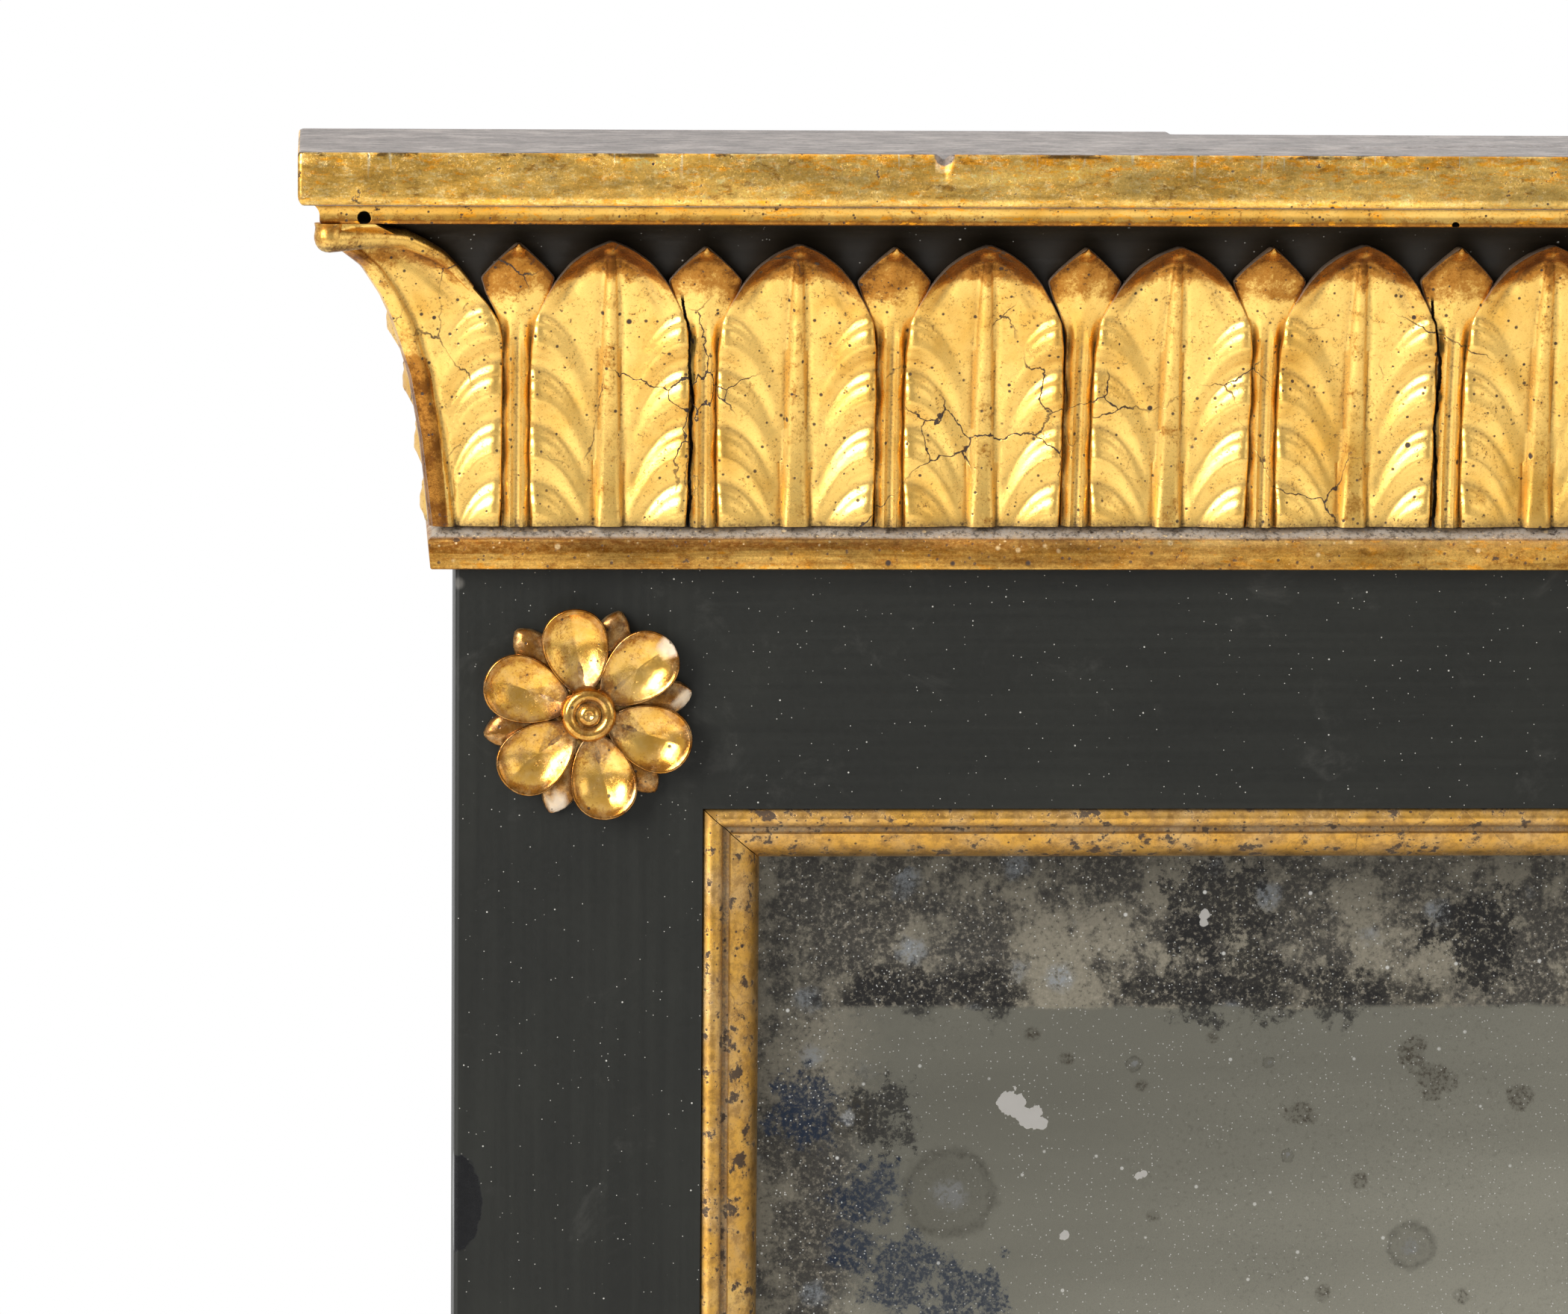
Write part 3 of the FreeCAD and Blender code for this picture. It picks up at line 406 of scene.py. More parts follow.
def shader_group(name, fill, outputs, vectors="Place", colours="", values=""):
    """A node group with the named inputs and outputs, filled by a function."""
    tree = bpy.data.node_groups.get(name)
    if tree:
        return tree
    tree = bpy.data.node_groups.new(name, "ShaderNodeTree")
    for labels, kind in ((vectors, VECTOR), (colours, COLOUR), (values, VALUE)):
        for label in labels.split():
            tree.interface.new_socket(label, in_out="INPUT", socket_type=kind)
    for label in outputs.split():
        kind = COLOUR if label == "Color" else VALUE
        tree.interface.new_socket(label, in_out="OUTPUT", socket_type=kind)
    results = fill(Net(tree), tree.nodes.new("NodeGroupInput").outputs)
    ends = tree.nodes.new("NodeGroupOutput").inputs
    for label, socket in results.items():
        tree.links.new(socket, ends[label])
    return tree


def fill_specks(net, given):
    cell = net.cells(given["Place"], given["Scale"])
    chance = net.add("ShaderNodeSeparateColor", cell["Color"]).outputs
    size = net.times(given["Size"], chance[1])
    dot = net.step(cell["Distance"], size, net.times(size, 0.45))
    return {"Mask": net.times(dot, net.math("LESS_THAN", chance[0], given["Share"]))}


def specks_group():
    """Small round specks, one at most in each cell."""
    return shader_group("dust and pit specks", fill_specks, "Mask", values="Scale Size Share")


def fill_cracks(net, given):
    bent = net.vector("ADD", given["Place"], net.vector("SCALE", net.add(
        "ShaderNodeTexNoise", given["Place"], None, 0.35, 4.0).outputs["Color"], None, None, 3.0))
    edge = net.cells(bent, given["Scale"], "DISTANCE_TO_EDGE")["Distance"]
    line = net.step(edge, given["Width"], net.times(given["Width"], 0.3))
    kept = net.step(net.noise(given["Place"], 0.03, 2.0), 0.5, 0.62)
    return {"Mask": net.times(line, kept)}


def cracks_group():
    """Fine cracks that open here and there."""
    return shader_group("age cracks", fill_cracks, "Mask", values="Scale Width")


# Colour of pits, specks and cracks in the gilding
PIT_COLOUR = (0.03, 0.014, 0.006, 1)


def fill_gilding(net, given):
    place = given["Place"]
    broad = net.noise(place, 0.05, 4.0, 0.6)
    patch = net.noise(place, 0.24, 6.0, 0.65)
    fine = net.noise(place, 1.6, 6.0, 0.7)
    colour = net.mix(net.step(net.plus(broad, given["Toning"]), 0.42, 0.78), given["Light"], given["Deep"])
    colour = net.mix(net.step(patch, 0.5, 0.8, 0.0, 0.5), colour, given["Deep"])
    bare = net.times(net.step(fine, 0.54, 0.66), net.step(patch, 0.36, 0.6, 0.15, 0.8))
    colour = net.mix(bare, colour, (0.32, 0.14, 0.03, 1))
    ragged = net.plus(net.times(patch, 1.4), net.times(fine, 0.7))
    amber = net.step(net.plus(given["Amber"], ragged), 1.3, 1.75, 0.0, 0.9)
    colour = net.mix(amber, colour, (0.34, 0.125, 0.016, 1))
    scorch = net.step(net.plus(given["Amber"], ragged), 1.75, 2.15, 0.0, 0.8)
    colour = net.mix(scorch, colour, (0.1, 0.03, 0.006, 1))
    # Grime and painted shade: the recess mark darkens hollows, creases, undersides and the places where
    # parts meet
    grime_and_shade = net.times(given["Recess"], net.step(fine, 0.25, 0.6, 0.35, 1.0))
    colour = net.mix(grime_and_shade, colour, (0.035, 0.016, 0.005, 1))
    pits = net.specks(place, 0.5, 0.27, given["Specks"])
    dots = net.specks(place, 0.19, 0.17, net.times(given["Specks"], 0.6))
    blots = net.times(net.step(net.plus(patch, given["Blots"]), 0.7, 0.76), 0.85)
    crack = net.times(given["Cracks"], net.group(
        cracks_group(), Place=place, Scale=0.042, Width=0.008)["Mask"])
    crumbs = net.step(net.noise(place, 0.95, 5.0, 0.75), 0.585, 0.65)
    crumbs = net.times(net.times(crumbs, net.step(patch, 0.47, 0.6)), net.times(given["Specks"], 0.8))
    dark = net.most(net.times(pits, 0.75), dots, crack, blots, crumbs)
    colour = net.mix(dark, colour, PIT_COLOUR)
    dust = net.times(given["Dust"], net.step(fine, 0.3, 0.62, 0.6, 1.0))
    colour = net.mix(dust, colour, (0.29, 0.25, 0.2, 1))
    colour = net.mix(given["Chip"], colour, (0.56, 0.45, 0.33, 1))
    dull = net.most(net.times(grime_and_shade, 0.7), dark, dust, given["Chip"])
    metal = net.minus(1.0, dull)
    worn = net.plus(net.step(patch, 0.3, 0.75, 0.0, 0.14), net.step(fine, 0.35, 0.7, -0.03, 0.07))
    rough = net.plus(net.plus(given["Gloss"], worn), net.times(dull, 0.35))
    rough = net.minus(rough, net.times(amber, 0.06))
    height = net.plus(net.times(fine, 0.35), net.times(patch, 0.65))
    height = net.minus(height, net.times(dark, 1.2))
    return {"Color": colour, "Roughness": rough, "Metallic": metal, "Height": height, "Dark": dark}


def gilding_group():
    """Old gold leaf: toning, amber varnish, grime and painted shade in hollows, pits, cracks, dust and
    chips.
    """
    return shader_group(
        "old gold leaf", fill_gilding, "Color Roughness Metallic Height Dark", colours="Light Deep",
        values="Toning Gloss Specks Blots Cracks Recess Amber Dust Chip")


def fill_paint(net, given):
    place = given["Place"]
    streak = net.streaks(place, given["Brush"], 5.0, 0.6)
    cloud = net.noise(place, 0.018, 4.0, 0.6)
    fine = net.noise(place, 0.9, 5.0, 0.65)
    lift = net.plus(net.step(streak, 0.3, 0.75, 0.88, 1.14), net.step(cloud, 0.35, 0.7, -0.15, 0.25))
    colour = net.vector("SCALE", given["Paint"], None, None, lift)
    haze = net.times(net.step(net.noise(place, 0.05, 6.0, 0.7, 0.6), 0.56, 0.78), 0.09)
    colour = net.mix(haze, colour, (0.2, 0.19, 0.17, 1))
    specks = net.most(
        net.specks(place, 0.14, 0.085, 0.5),
        net.specks(place, 0.26, 0.1, 0.4),
        net.specks(place, 0.6, 0.13, 0.6))
    colour = net.mix(net.times(specks, 0.6), colour, (0.62, 0.6, 0.54, 1))
    rough = net.plus(net.step(streak, 0.25, 0.8, 0.43, 0.48), net.step(fine, 0.3, 0.7, -0.03, 0.05))
    height = net.plus(net.times(streak, 0.6), net.times(fine, 0.4))
    return {"Color": colour, "Roughness": rough, "Height": height}


def paint_group():
    """Old dark paint with brush marks, faint bloom and specks of dust."""
    return shader_group("old dark paint", fill_paint, "Color Roughness Height", "Place Brush", "Paint")


def fill_wood(net, given):
    along = net.vector("MULTIPLY", given["Place"], given["Grain"])
    ring = net.noise(along, 0.11, 3.0, 0.5, 1.2)
    bands = net.math("FRACT", net.times(ring, 11.0))
    late = net.times(net.step(bands, 0.45, 0.9), net.step(bands, 1.0, 0.93))
    fibre = net.noise(along, 1.5, 5.0, 0.65)
    stain = net.noise(net.vector("MULTIPLY", along, (1.0, 0.35, 0.35)), 0.06, 5.0, 0.65)
    colour = net.mix(late, given["Wood"], net.vector("MULTIPLY", given["Wood"], (0.55, 0.45, 0.36)))
    colour = net.mix(net.step(fibre, 0.4, 0.75, 0.0, 0.45), colour, net.vector(
        "MULTIPLY", given["Wood"], (0.45, 0.4, 0.36)))
    colour = net.mix(net.step(stain, 0.4, 0.75, 0.0, 0.65), colour, (0.12, 0.075, 0.042, 1))
    rough = net.step(fibre, 0.2, 0.8, 0.62, 0.82)
    height = net.plus(net.times(fibre, 0.7), net.times(late, 0.3))
    return {"Color": colour, "Roughness": rough, "Height": height}


def wood_group():
    """Bare pine that has darkened with age."""
    return shader_group("bare pine grain", fill_wood, "Color Roughness Height", "Place Grain", "Wood")


# Materials
def new_material(name):
    """A material with its shader, and the place on the piece in millimetres."""
    material = bpy.data.materials.new(name)
    material.use_nodes = True
    net = Net(material.node_tree)
    shader = material.node_tree.nodes["Principled BSDF"]
    spot = net.add("ShaderNodeTexCoord")
    place = net.add("ShaderNodeMapping", spot.outputs["Object"])
    place.inputs["Scale"].default_value = (1 / MM, 1 / MM, 1 / MM)
    return material, net, shader, place.outputs[0]


def dress(net, shader, look, strength, distance):
    """Links colour, roughness, metal and relief to a material's shader."""
    for name, value in look.items():
        if name == "Height":
            bump = net.add("ShaderNodeBump")
            bump.inputs["Strength"].default_value = strength
            bump.inputs["Distance"].default_value = distance * MM
            net.put(bump.inputs["Height"], value)
            net.put(shader.inputs["Normal"], bump.outputs[0])
        else:
            net.put(shader.inputs["Base Color" if name == "Color" else name], value)


def gilt(name, toning, gloss, specks, blots, cracks, relief, holes=(), wear=None):
    """A gilt finish. Holes are wormholes: their places and sizes. Wear adds to the colour."""
    material, net, shader, place = new_material(name)
    finish = setting("mirror_finish")
    leaf = net.group(
        gilding_group(), Place=place, Light=finish.gold_light, Deep=finish.gold_deep, Toning=toning,
        Gloss=gloss, Specks=specks, Blots=blots, Cracks=cracks,
        **{mark.capitalize(): net.mark(mark) for mark in MARKS})
    look = {label: leaf[label] for label in ("Color", "Roughness", "Metallic", "Height")}
    if wear:
        look["Color"] = net.mix(leaf["Dark"], wear(net, place, look["Color"]), PIT_COLOUR)
    ragged = net.noise(place, 0.8, 3.0)
    for centre, size in holes:
        hole = net.spot(place, centre, size, 0.25, ragged, 0.08)
        look["Color"] = net.mix(hole, look["Color"], (0.002, 0.0015, 0.001, 1))
        look["Metallic"] = net.math("MAXIMUM", look["Metallic"], hole)
        look["Height"] = net.minus(look["Height"], net.times(hole, 3.0))
    dress(net, shader, look, 0.35, relief)
    return material


def open_joints(net, place, colour):
    """Dark open joints between the leaf strips."""
    apart = net.add("ShaderNodeSeparateXYZ", place).outputs
    x = net.plus(apart[0], net.step(apart[2], COVE_LOW + 38.0, COVE_LOW + 54.0, 0.0, 2.6))
    below = net.step(apart[2], COVE_LOW + 53.0, COVE_LOW + 51.0)
    sway = net.streaks(place, (0.02, 0.02, 0.12), 5.0, 0.6)
    x = net.plus(x, net.times(net.minus(sway, 0.5), 3.0))
    for strip in range(STRIP_COUNT):
        joint = FIRST_LEAF + (STRIP_LEAVES * strip + 0.5) * LEAF_PITCH + SMALL_SHIFT - LEAF_STEM / 2
        gap = net.math("ABSOLUTE", net.minus(x, joint))
        colour = net.mix(net.times(below, net.step(gap, 0.42, 0.26)), colour, (0.003, 0.002, 0.0015, 1))
    return colour


def gilt_leaves():
    holes = [((-305.6, -34.0, 809.6), 1.35), ((-305.2, -34.5, 808.0), 1.0)]
    return gilt("gilt leaves", 0.0, 0.26, 0.8, 0.0, 1.0, 0.25, holes, open_joints)


def moulding_wear(net, place, colour):
    """Patches and runs on the board's edge, dirt on the ledge, varnish and specks on the base fillet."""
    apart = net.add("ShaderNodeSeparateXYZ", place).outputs
    x, z = apart[0], apart[2]
    board = net.step(z, BOARD_LOW - 0.3, BOARD_LOW + 0.5)
    upper = net.step(z, BOARD_LOW + 4.0, BOARD_HIGH)
    rim = net.step(z, BOARD_HIGH - 1.3, BOARD_HIGH - 0.7)
    ledge = net.times(
        net.step(z, COVE_LOW - 3.1, COVE_LOW - 2.5), net.step(z, COVE_LOW + 0.8, COVE_LOW + 0.4))
    fillet = net.step(z, COVE_LOW - 2.0, COVE_LOW - 3.0)
    flat = net.most(board, fillet)
    olive = net.streaks(place, (0.012, 0.1, 0.12), 5.0, 0.65)
    warm = net.streaks(place, (0.2, 0.4, 0.55), 6.0, 0.72)
    warm = net.plus(warm, net.times(net.times(board, upper), net.step(x, -440.0, -380.0, 0.0, 0.09)))
    brown = net.streaks(place, (0.14, 0.3, 0.3), 8.0, 0.78)
    gleam = net.streaks(place, (0.45, 0.9, 0.9), 8.0, 0.8)
    run = net.streaks(place, (0.8, 0.3, 0.09), 2.0, 0.4)
    burnt = net.streaks(place, (0.06, 0.1, 0.1), 7.0, 0.75)
    soil = net.noise(place, 0.7, 8.0, 0.8)
    tone = net.streaks(place, (0.008, 0.2, 0.3), 4.0, 0.6)
    varnish = net.times(net.step(x, -150.0, -470.0, 0.35, 1.0), net.step(tone, 0.35, 0.62, 0.2, 1.1))
    chip = net.spot(place, (CHIP_X, FRONT - BOARD_OUT + 1.0, BOARD_HIGH - 0.4), 2.1, 0.5, gleam, 0.1)
    pale = net.most(net.specks(place, 0.3, 0.26, 0.9), net.specks(place, 0.75, 0.3, 0.7))
    layers = (
        (board, net.step(olive, 0.4, 0.62, 0.05, 0.4), (0.6, 0.38, 0.085, 1)),
        (net.minus(1.0, ledge), net.step(warm, 0.54, 0.64, 0.0, 0.85), (0.92, 0.37, 0.02, 1)),
        (board, net.step(brown, 0.55, 0.66, 0.0, 0.75), (0.27, 0.115, 0.02, 1)),
        (board, net.step(gleam, 0.5, 0.64, 0.0, 0.6), (1.0, 0.78, 0.36, 1)),
        (upper, net.step(run, 0.69, 0.75, 0.0, 0.65), (0.8, 0.7, 0.45, 1)),
        (rim, net.step(burnt, 0.5, 0.58, 0.0, 0.85), (0.05, 0.025, 0.012, 1)),
        (ledge, 0.55, (0.4, 0.365, 0.335, 1)),
        (ledge, net.step(soil, 0.48, 0.6, 0.0, 0.75), (0.06, 0.048, 0.038, 1)),
        (fillet, varnish, (0.24, 0.085, 0.01, 1)),
        (fillet, net.step(brown, 0.5, 0.64, 0.0, 0.7), (0.2, 0.075, 0.012, 1)),
        (fillet, net.step(gleam, 0.42, 0.66, 0.0, 0.35), (0.8, 0.48, 0.12, 1)),
        (board, chip, (0.17, 0.13, 0.1, 1)),
        (net.times(pale, net.most(ledge, fillet)), 0.6, (0.9, 0.66, 0.34, 1)),
    )
    for part, share, tint in layers:
        colour = net.mix(net.times(part, share), colour, tint)
    worn = net.step(net.streaks(place, (0.035, 0.1, 0.16), 7.0, 0.68), 0.36, 0.64, 0.68, 1.3)
    grain = net.step(net.noise(place, 1.9, 5.0, 0.8), 0.36, 0.64, 0.82, 1.18)
    uneven = net.plus(net.times(net.times(worn, grain), flat), net.minus(1.0, flat))
    return net.vector("SCALE", colour, None, None, uneven)


def gilt_mouldings():
    holes = [((-487.9, -50.8, 833.3), 1.4), ((-250.1, -50.6, 832.4), 0.75)]
    return gilt("gilt mouldings", 0.08, 0.28, 0.8, 0.05, 0.0, 0.2, holes, moulding_wear)


def slip_bloom(net, place, colour):
    """A pale bloom over the gold of the slip."""
    bloom = net.noise(place, 0.12, 5.0, 0.65)
    colour = net.mix(net.step(bloom, 0.35, 0.72, 0.05, 0.45), colour, (0.5, 0.4, 0.26, 1))
    stain = net.noise(place, 0.33, 7.0, 0.75)
    return net.mix(net.step(stain, 0.44, 0.62, 0.0, 0.6), colour, (0.26, 0.135, 0.045, 1))


def gilt_slip():
    return gilt("gilt slip", 0.3, 0.3, 0.75, 0.13, 0.25, 0.25, wear=slip_bloom)


def rosette_bloom(net, place, colour):
    """A faint pale bloom over the gold of the rosettes."""
    bloom = net.noise(place, 0.3, 6.0, 0.7)
    return net.mix(net.step(bloom, 0.42, 0.68, 0.0, 0.3), colour, (0.9, 0.62, 0.28, 1))


def gilt_rosette():
    return gilt("gilt rosette", 0.2, 0.15, 0.4, 0.0, 0.0, 0.2, wear=rosette_bloom)


def dark_paint(name, brush, loss=False, tint=(1.0, 1.0, 1.0), gloss=0.3):
    """Dark paint on the face and sides, bare wood at the back."""
    material, net, shader, place = new_material(name)
    finish = setting("mirror_finish")
    shade_of = [value * share for value, share in zip(finish.paint, tint)] + [1.0]
    paint = net.group(paint_group(), Place=place, Brush=brush, Paint=shade_of)
    grain = [0.05 if share < 0.1 else 1.0 for share in brush]
    wood = net.group(wood_group(), Place=place, Grain=grain, Wood=finish.pine)
    facing = net.add("ShaderNodeSeparateXYZ", net.add("ShaderNodeTexCoord").outputs["Normal"]).outputs[1]
    bare = net.step(facing, 0.6, 0.9)
    colour, rough, height = paint["Color"], paint["Roughness"], paint["Height"]
    if loss:
        ragged = net.noise(place, 0.16, 4.0, 0.6)
        squashed = net.vector("MULTIPLY", place, (1.0, 0.35, 0.52))
        lost = net.spot(squashed, (-467.0, -7.2, 317.4), 5.6, 0.35, ragged, 0.16)
        scuff = net.spot(place, (-466.9, -20.5, 750.0), 0.6, 1.2, ragged)
        colour = net.mix(lost, colour, (0.004, 0.004, 0.0045, 1))
        colour = net.mix(net.times(scuff, 0.4), colour, (0.2, 0.19, 0.17, 1))
        rough = net.minus(rough, net.times(lost, 0.2))
        height = net.minus(height, net.times(lost, 1.0))
    look = {
        "Color": net.mix(bare, colour, wood["Color"]),
        "Roughness": net.plus(rough, net.times(bare, 0.25)),
        "Height": height,
    }
    dress(net, shader, look, 0.25, 0.12)
    shader.inputs["Specular IOR Level"].default_value = gloss
    return material


def cove_paint():
    # Painted shade: the cove gets a darker, warmer copy of the frame paint
    return dark_paint("dark paint, cove", (0.012, 0.5, 0.5), tint=(1.25, 0.85, 0.62), gloss=0.23)


def rail_paint():
    return dark_paint("dark paint, rails", (0.012, 0.5, 0.5))


def stile_paint():
    return dark_paint("dark paint, stiles", (0.5, 0.5, 0.012), loss=True)


def dusty_board():
    """Dark top of the cornice under years of dust."""
    material, net, shader, place = new_material("dusty board")
    streak = net.streaks(place, (0.14, 0.7, 0.7), 8.0, 0.78)
    cloud = net.noise(place, 0.09, 6.0, 0.7)
    fine = net.noise(place, 1.1, 6.0, 0.7)
    colour = net.mix(net.step(streak, 0.3, 0.7), (0.07, 0.062, 0.057, 1), (0.26, 0.225, 0.205, 1))
    colour = net.mix(net.step(cloud, 0.45, 0.7, 0.0, 0.6), colour, (0.36, 0.315, 0.285, 1))
    dark = net.specks(place, 0.22, 0.22, 0.35)
    pale = net.specks(place, 0.35, 0.1, 0.35)
    colour = net.mix(net.times(dark, 0.75), colour, (0.012, 0.012, 0.012, 1))
    colour = net.mix(net.times(pale, 0.7), colour, (0.5, 0.47, 0.42, 1))
    look = {"Color": colour, "Roughness": net.step(fine, 0.3, 0.7, 0.6, 0.85),
            "Height": net.plus(net.times(fine, 0.5), net.times(cloud, 0.5))}
    dress(net, shader, look, 0.4, 0.2)
    return material


# Marks on the mirror plate: place across and up, then sizes
BLACK_BLOTS = ((-294.5, 676.0, 8.5), (-299.0, 669.0, 5.0), (-288.0, 661.0, 4.0), (-300.0, 656.0, 5.5),
               (-285.0, 655.5, 5.0), (-268.0, 656.0, 4.5), (-346.0, 654.5, 3.5), (-362.0, 655.0, 3.0),
               (-236.0, 667.0, 8.0), (-372.0, 627.0, 6.0))
BLUE_PATCHES = ((-387.0, 628.0, 6.5), (-374.0, 609.5, 5.5), (-366.0, 591.0, 6.5), (-352.0, 586.0, 7.0),
                (-377.0, 597.0, 3.5))
RING_STAINS = ((-355.5, 609.0, 8.0, 4.2), (-378.5, 627.0, 3.6, 1.8), (-249.9, 596.6, 3.6, 3.0),
               (-313.5, 638.9, 1.3, 0.9), (-283.0, 638.9, 1.0, 0.7), (-278.4, 618.0, 1.1, 0.6))
BROWN_SPOTS = ((-250.7, 641.4, 2.6), (-225.8, 631.0, 2.2), (-245.0, 635.0, 3.2), (-276.0, 628.0, 2.4),
               (-312.0, 634.0, 0.8), (-329.0, 640.0, 1.1), (-296.0, 645.0, 0.7), (-337.0, 646.0, 0.9),
               (-309.0, 604.0, 0.8), (-262.0, 612.0, 1.0), (-270.0, 586.0, 1.2), (-238.0, 585.0, 1.0))
LOOSE_FLAKES = ((-341.0, 630.0, 2.9), (-337.2, 627.0, 2.7), (-334.6, 625.6, 1.4), (-298.2, 673.1, 1.1),
                (-298.4, 671.4, 0.8), (-312.3, 613.2, 0.9), (-311.2, 613.7, 0.7), (-329.1, 599.5, 1.0))


def foxed_glass():
    """Old mirror: clear grey silvering in the middle with painted reflections, foxed and speckled above and
    along the slip, and a painted shadow of the slip along its edges.
    """
    material, net, shader, place = new_material("foxed mirror glass")
    finish = setting("mirror_finish")
    apart = net.add("ShaderNodeSeparateXYZ", place).outputs
    x, z = apart[0], apart[2]
    broad = net.noise(place, 0.02, 6.0, 0.6)
    ragged = net.noise(place, 0.075, 8.0, 0.68)
    grit = net.noise(place, 0.75, 8.0, 0.8)
    grain = net.noise(place, 2.3, 4.0, 0.7)
    streak = net.streaks(place, (0.006, 1.0, 0.035), 4.0, 0.55)
    edge = net.times(net.minus(ragged, 0.5), 26.0)
    upper = net.step(net.plus(z, net.times(edge, 0.15)), 651.2, 652.6)
    side = net.minus(OPENING - SLIP_STILE, net.math("ABSOLUTE", x))
    near = net.step(net.plus(side, edge), 34.0, 12.0)
    foxed = net.most(upper, near)
    # Painted reflection: the clear silvering is darker near the top and the sides and brighter towards the
    # middle and the bottom, with soft level streaks
    reflection_falloff = net.step(net.minus(net.times(side, 0.45), net.minus(z, 686.0)), 70.0, 190.0, 0.85, 1.5)
    tone = net.times(net.step(streak, 0.3, 0.7, 0.88, 1.08), reflection_falloff)
    clear = net.vector("SCALE", finish.silver, None, None, tone)
    clear = net.mix(net.step(grain, 0.5, 0.75, 0.0, 0.4), clear, (0.2, 0.19, 0.165, 1))
    dark = net.step(ragged, 0.56, 0.44)
    mottle = net.mix(dark, (0.3, 0.27, 0.205, 1), (0.085, 0.078, 0.066, 1))
    mottle = net.mix(net.step(broad, 0.5, 0.66, 0.0, 0.7), mottle, (0.06, 0.058, 0.055, 1))
    mottle = net.mix(net.step(grit, 0.5, 0.62, 0.0, 0.7), mottle, (0.42, 0.375, 0.29, 1))
    mottle = net.mix(net.step(grit, 0.47, 0.36, 0.0, 0.75), mottle, (0.03, 0.029, 0.028, 1))
    bloom = net.cells(net.vector("ADD", place, net.vector("SCALE", net.add(
        "ShaderNodeTexNoise", place, None, 0.4, 3.0).outputs["Color"], None, None, 4.0)), 0.085)
    lot = net.add("ShaderNodeSeparateColor", bloom["Color"]).outputs[0]
    flower = net.times(net.step(bloom["Distance"], 0.36, 0.12), net.math("LESS_THAN", lot, 0.4))
    flower = net.times(flower, net.step(grit, 0.4, 0.58, 0.1, 0.75))
    mottle = net.mix(flower, mottle, (0.34, 0.37, 0.4, 1))
    colour = net.mix(foxed, clear, mottle)

    # Painted shadow of the slip: the glass darkens towards the slip's inner edge over its last 26 mm
    head = net.minus(OPENING_HIGH - SLIP_RAIL, z)
    slip_shadow_reach = net.math("MINIMUM", net.plus(side, net.times(edge, 0.3)), head)
    colour = net.mix(net.step(slip_shadow_reach, 26.0, 0.0, 0.0, 0.55), colour, (0.02, 0.019, 0.017, 1))
    torn = net.noise(place, 0.2, 8.0, 0.72)

    def spots(marks, soft, ragged, scale):
        return net.most(*[net.spot(place, (across, GLASS_FRONT, up), size, soft, ragged, scale)
                          for across, up, size in marks])

    band = net.times(net.step(z, 651.6, 652.8), net.step(net.plus(z, edge), 662.0, 657.0))
    band = net.times(band, net.step(net.streaks(place, (0.02, 0.1, 0.02), 4.0), 0.46, 0.54))
    black = net.most(band, spots(BLACK_BLOTS, 3.2, torn, 1.5))
    black = net.times(black, net.step(grit, 0.62, 0.5, 0.15, 0.9))
    colour = net.mix(black, colour, (0.022, 0.021, 0.021, 1))
    blue = spots(BLUE_PATCHES, 3.5, torn, 1.3)
    blue = net.times(blue, net.step(grit, 0.62, 0.46, 0.3, 0.9))
    colour = net.mix(blue, colour, (0.017, 0.027, 0.05, 1))
    shake = net.times(net.minus(torn, 0.5), 5.0)
    brown = net.times(spots(BROWN_SPOTS, 1.2, torn, 1.0), net.step(grit, 0.4, 0.57, 0.8, 0.12))
    colour = net.mix(brown, colour, (0.075, 0.056, 0.036, 1))
    for across, up, size, width in RING_STAINS:
        reach = net.vector("DISTANCE", place, (across, GLASS_FRONT, up))
        reach = net.plus(net.plus(reach, net.times(edge, 0.03 * size)), shake)
        inside = net.step(reach, size + width, size * 0.8, 0.0, 0.3)
        band = net.math("ABSOLUTE", net.minus(reach, size + width * 0.4))
        ring = net.plus(inside, net.step(band, width * 0.5, 0.0, 0.0, 0.4))
        ring = net.times(ring, net.step(grit, 0.32, 0.6, 1.1, 0.45))
        colour = net.mix(ring, colour, (0.05, 0.042, 0.03, 1))
        core = net.times(net.step(reach, size * 0.62, size * 0.3), net.step(grit, 0.42, 0.55, 0.15, 0.8))
        colour = net.mix(core, colour, (0.4, 0.4, 0.39, 1))
    crumb = net.noise(place, 0.4, 3.0, 0.55)
    flake = spots(LOOSE_FLAKES, 0.2, crumb, 0.5)
    specks = net.most(
        net.specks(place, 0.55, 0.2, 0.6),
        net.specks(place, 0.17, 0.11, 0.5),
        net.specks(place, 0.95, 0.24, 0.6))
    bright = net.times(specks, net.step(foxed, 0.0, 1.0, 0.6, 0.85))
    motes = net.specks(net.vector("ADD", place, (31.0, 7.0, 53.0)), 0.3, 0.17, 0.55)
    haze = net.times(net.step(grit, 0.5, 0.64), net.step(broad, 0.42, 0.6, 0.05, 0.3))
    colour = net.mix(haze, colour, (0.13, 0.115, 0.085, 1))
    colour = net.mix(net.times(motes, 0.75), colour, (0.09, 0.075, 0.055, 1))
    colour = net.mix(bright, colour, (0.75, 0.74, 0.7, 1))
    colour = net.mix(flake, colour, (0.46, 0.44, 0.41, 1))
    dull = net.most(net.times(foxed, 0.8), black, net.times(blue, 0.85), flake, bright)
    look = {
        "Color": colour,
        "Roughness": net.plus(0.1, net.times(dull, 0.32)),
        "Height": net.times(flake, 0.4),
    }
    dress(net, shader, look, 0.2, 0.1)
    shader.inputs["Metallic"].default_value = 1.0
    shader.inputs["Coat Weight"].default_value = 0.3
    shader.inputs["Coat Roughness"].default_value = 0.06
    return material


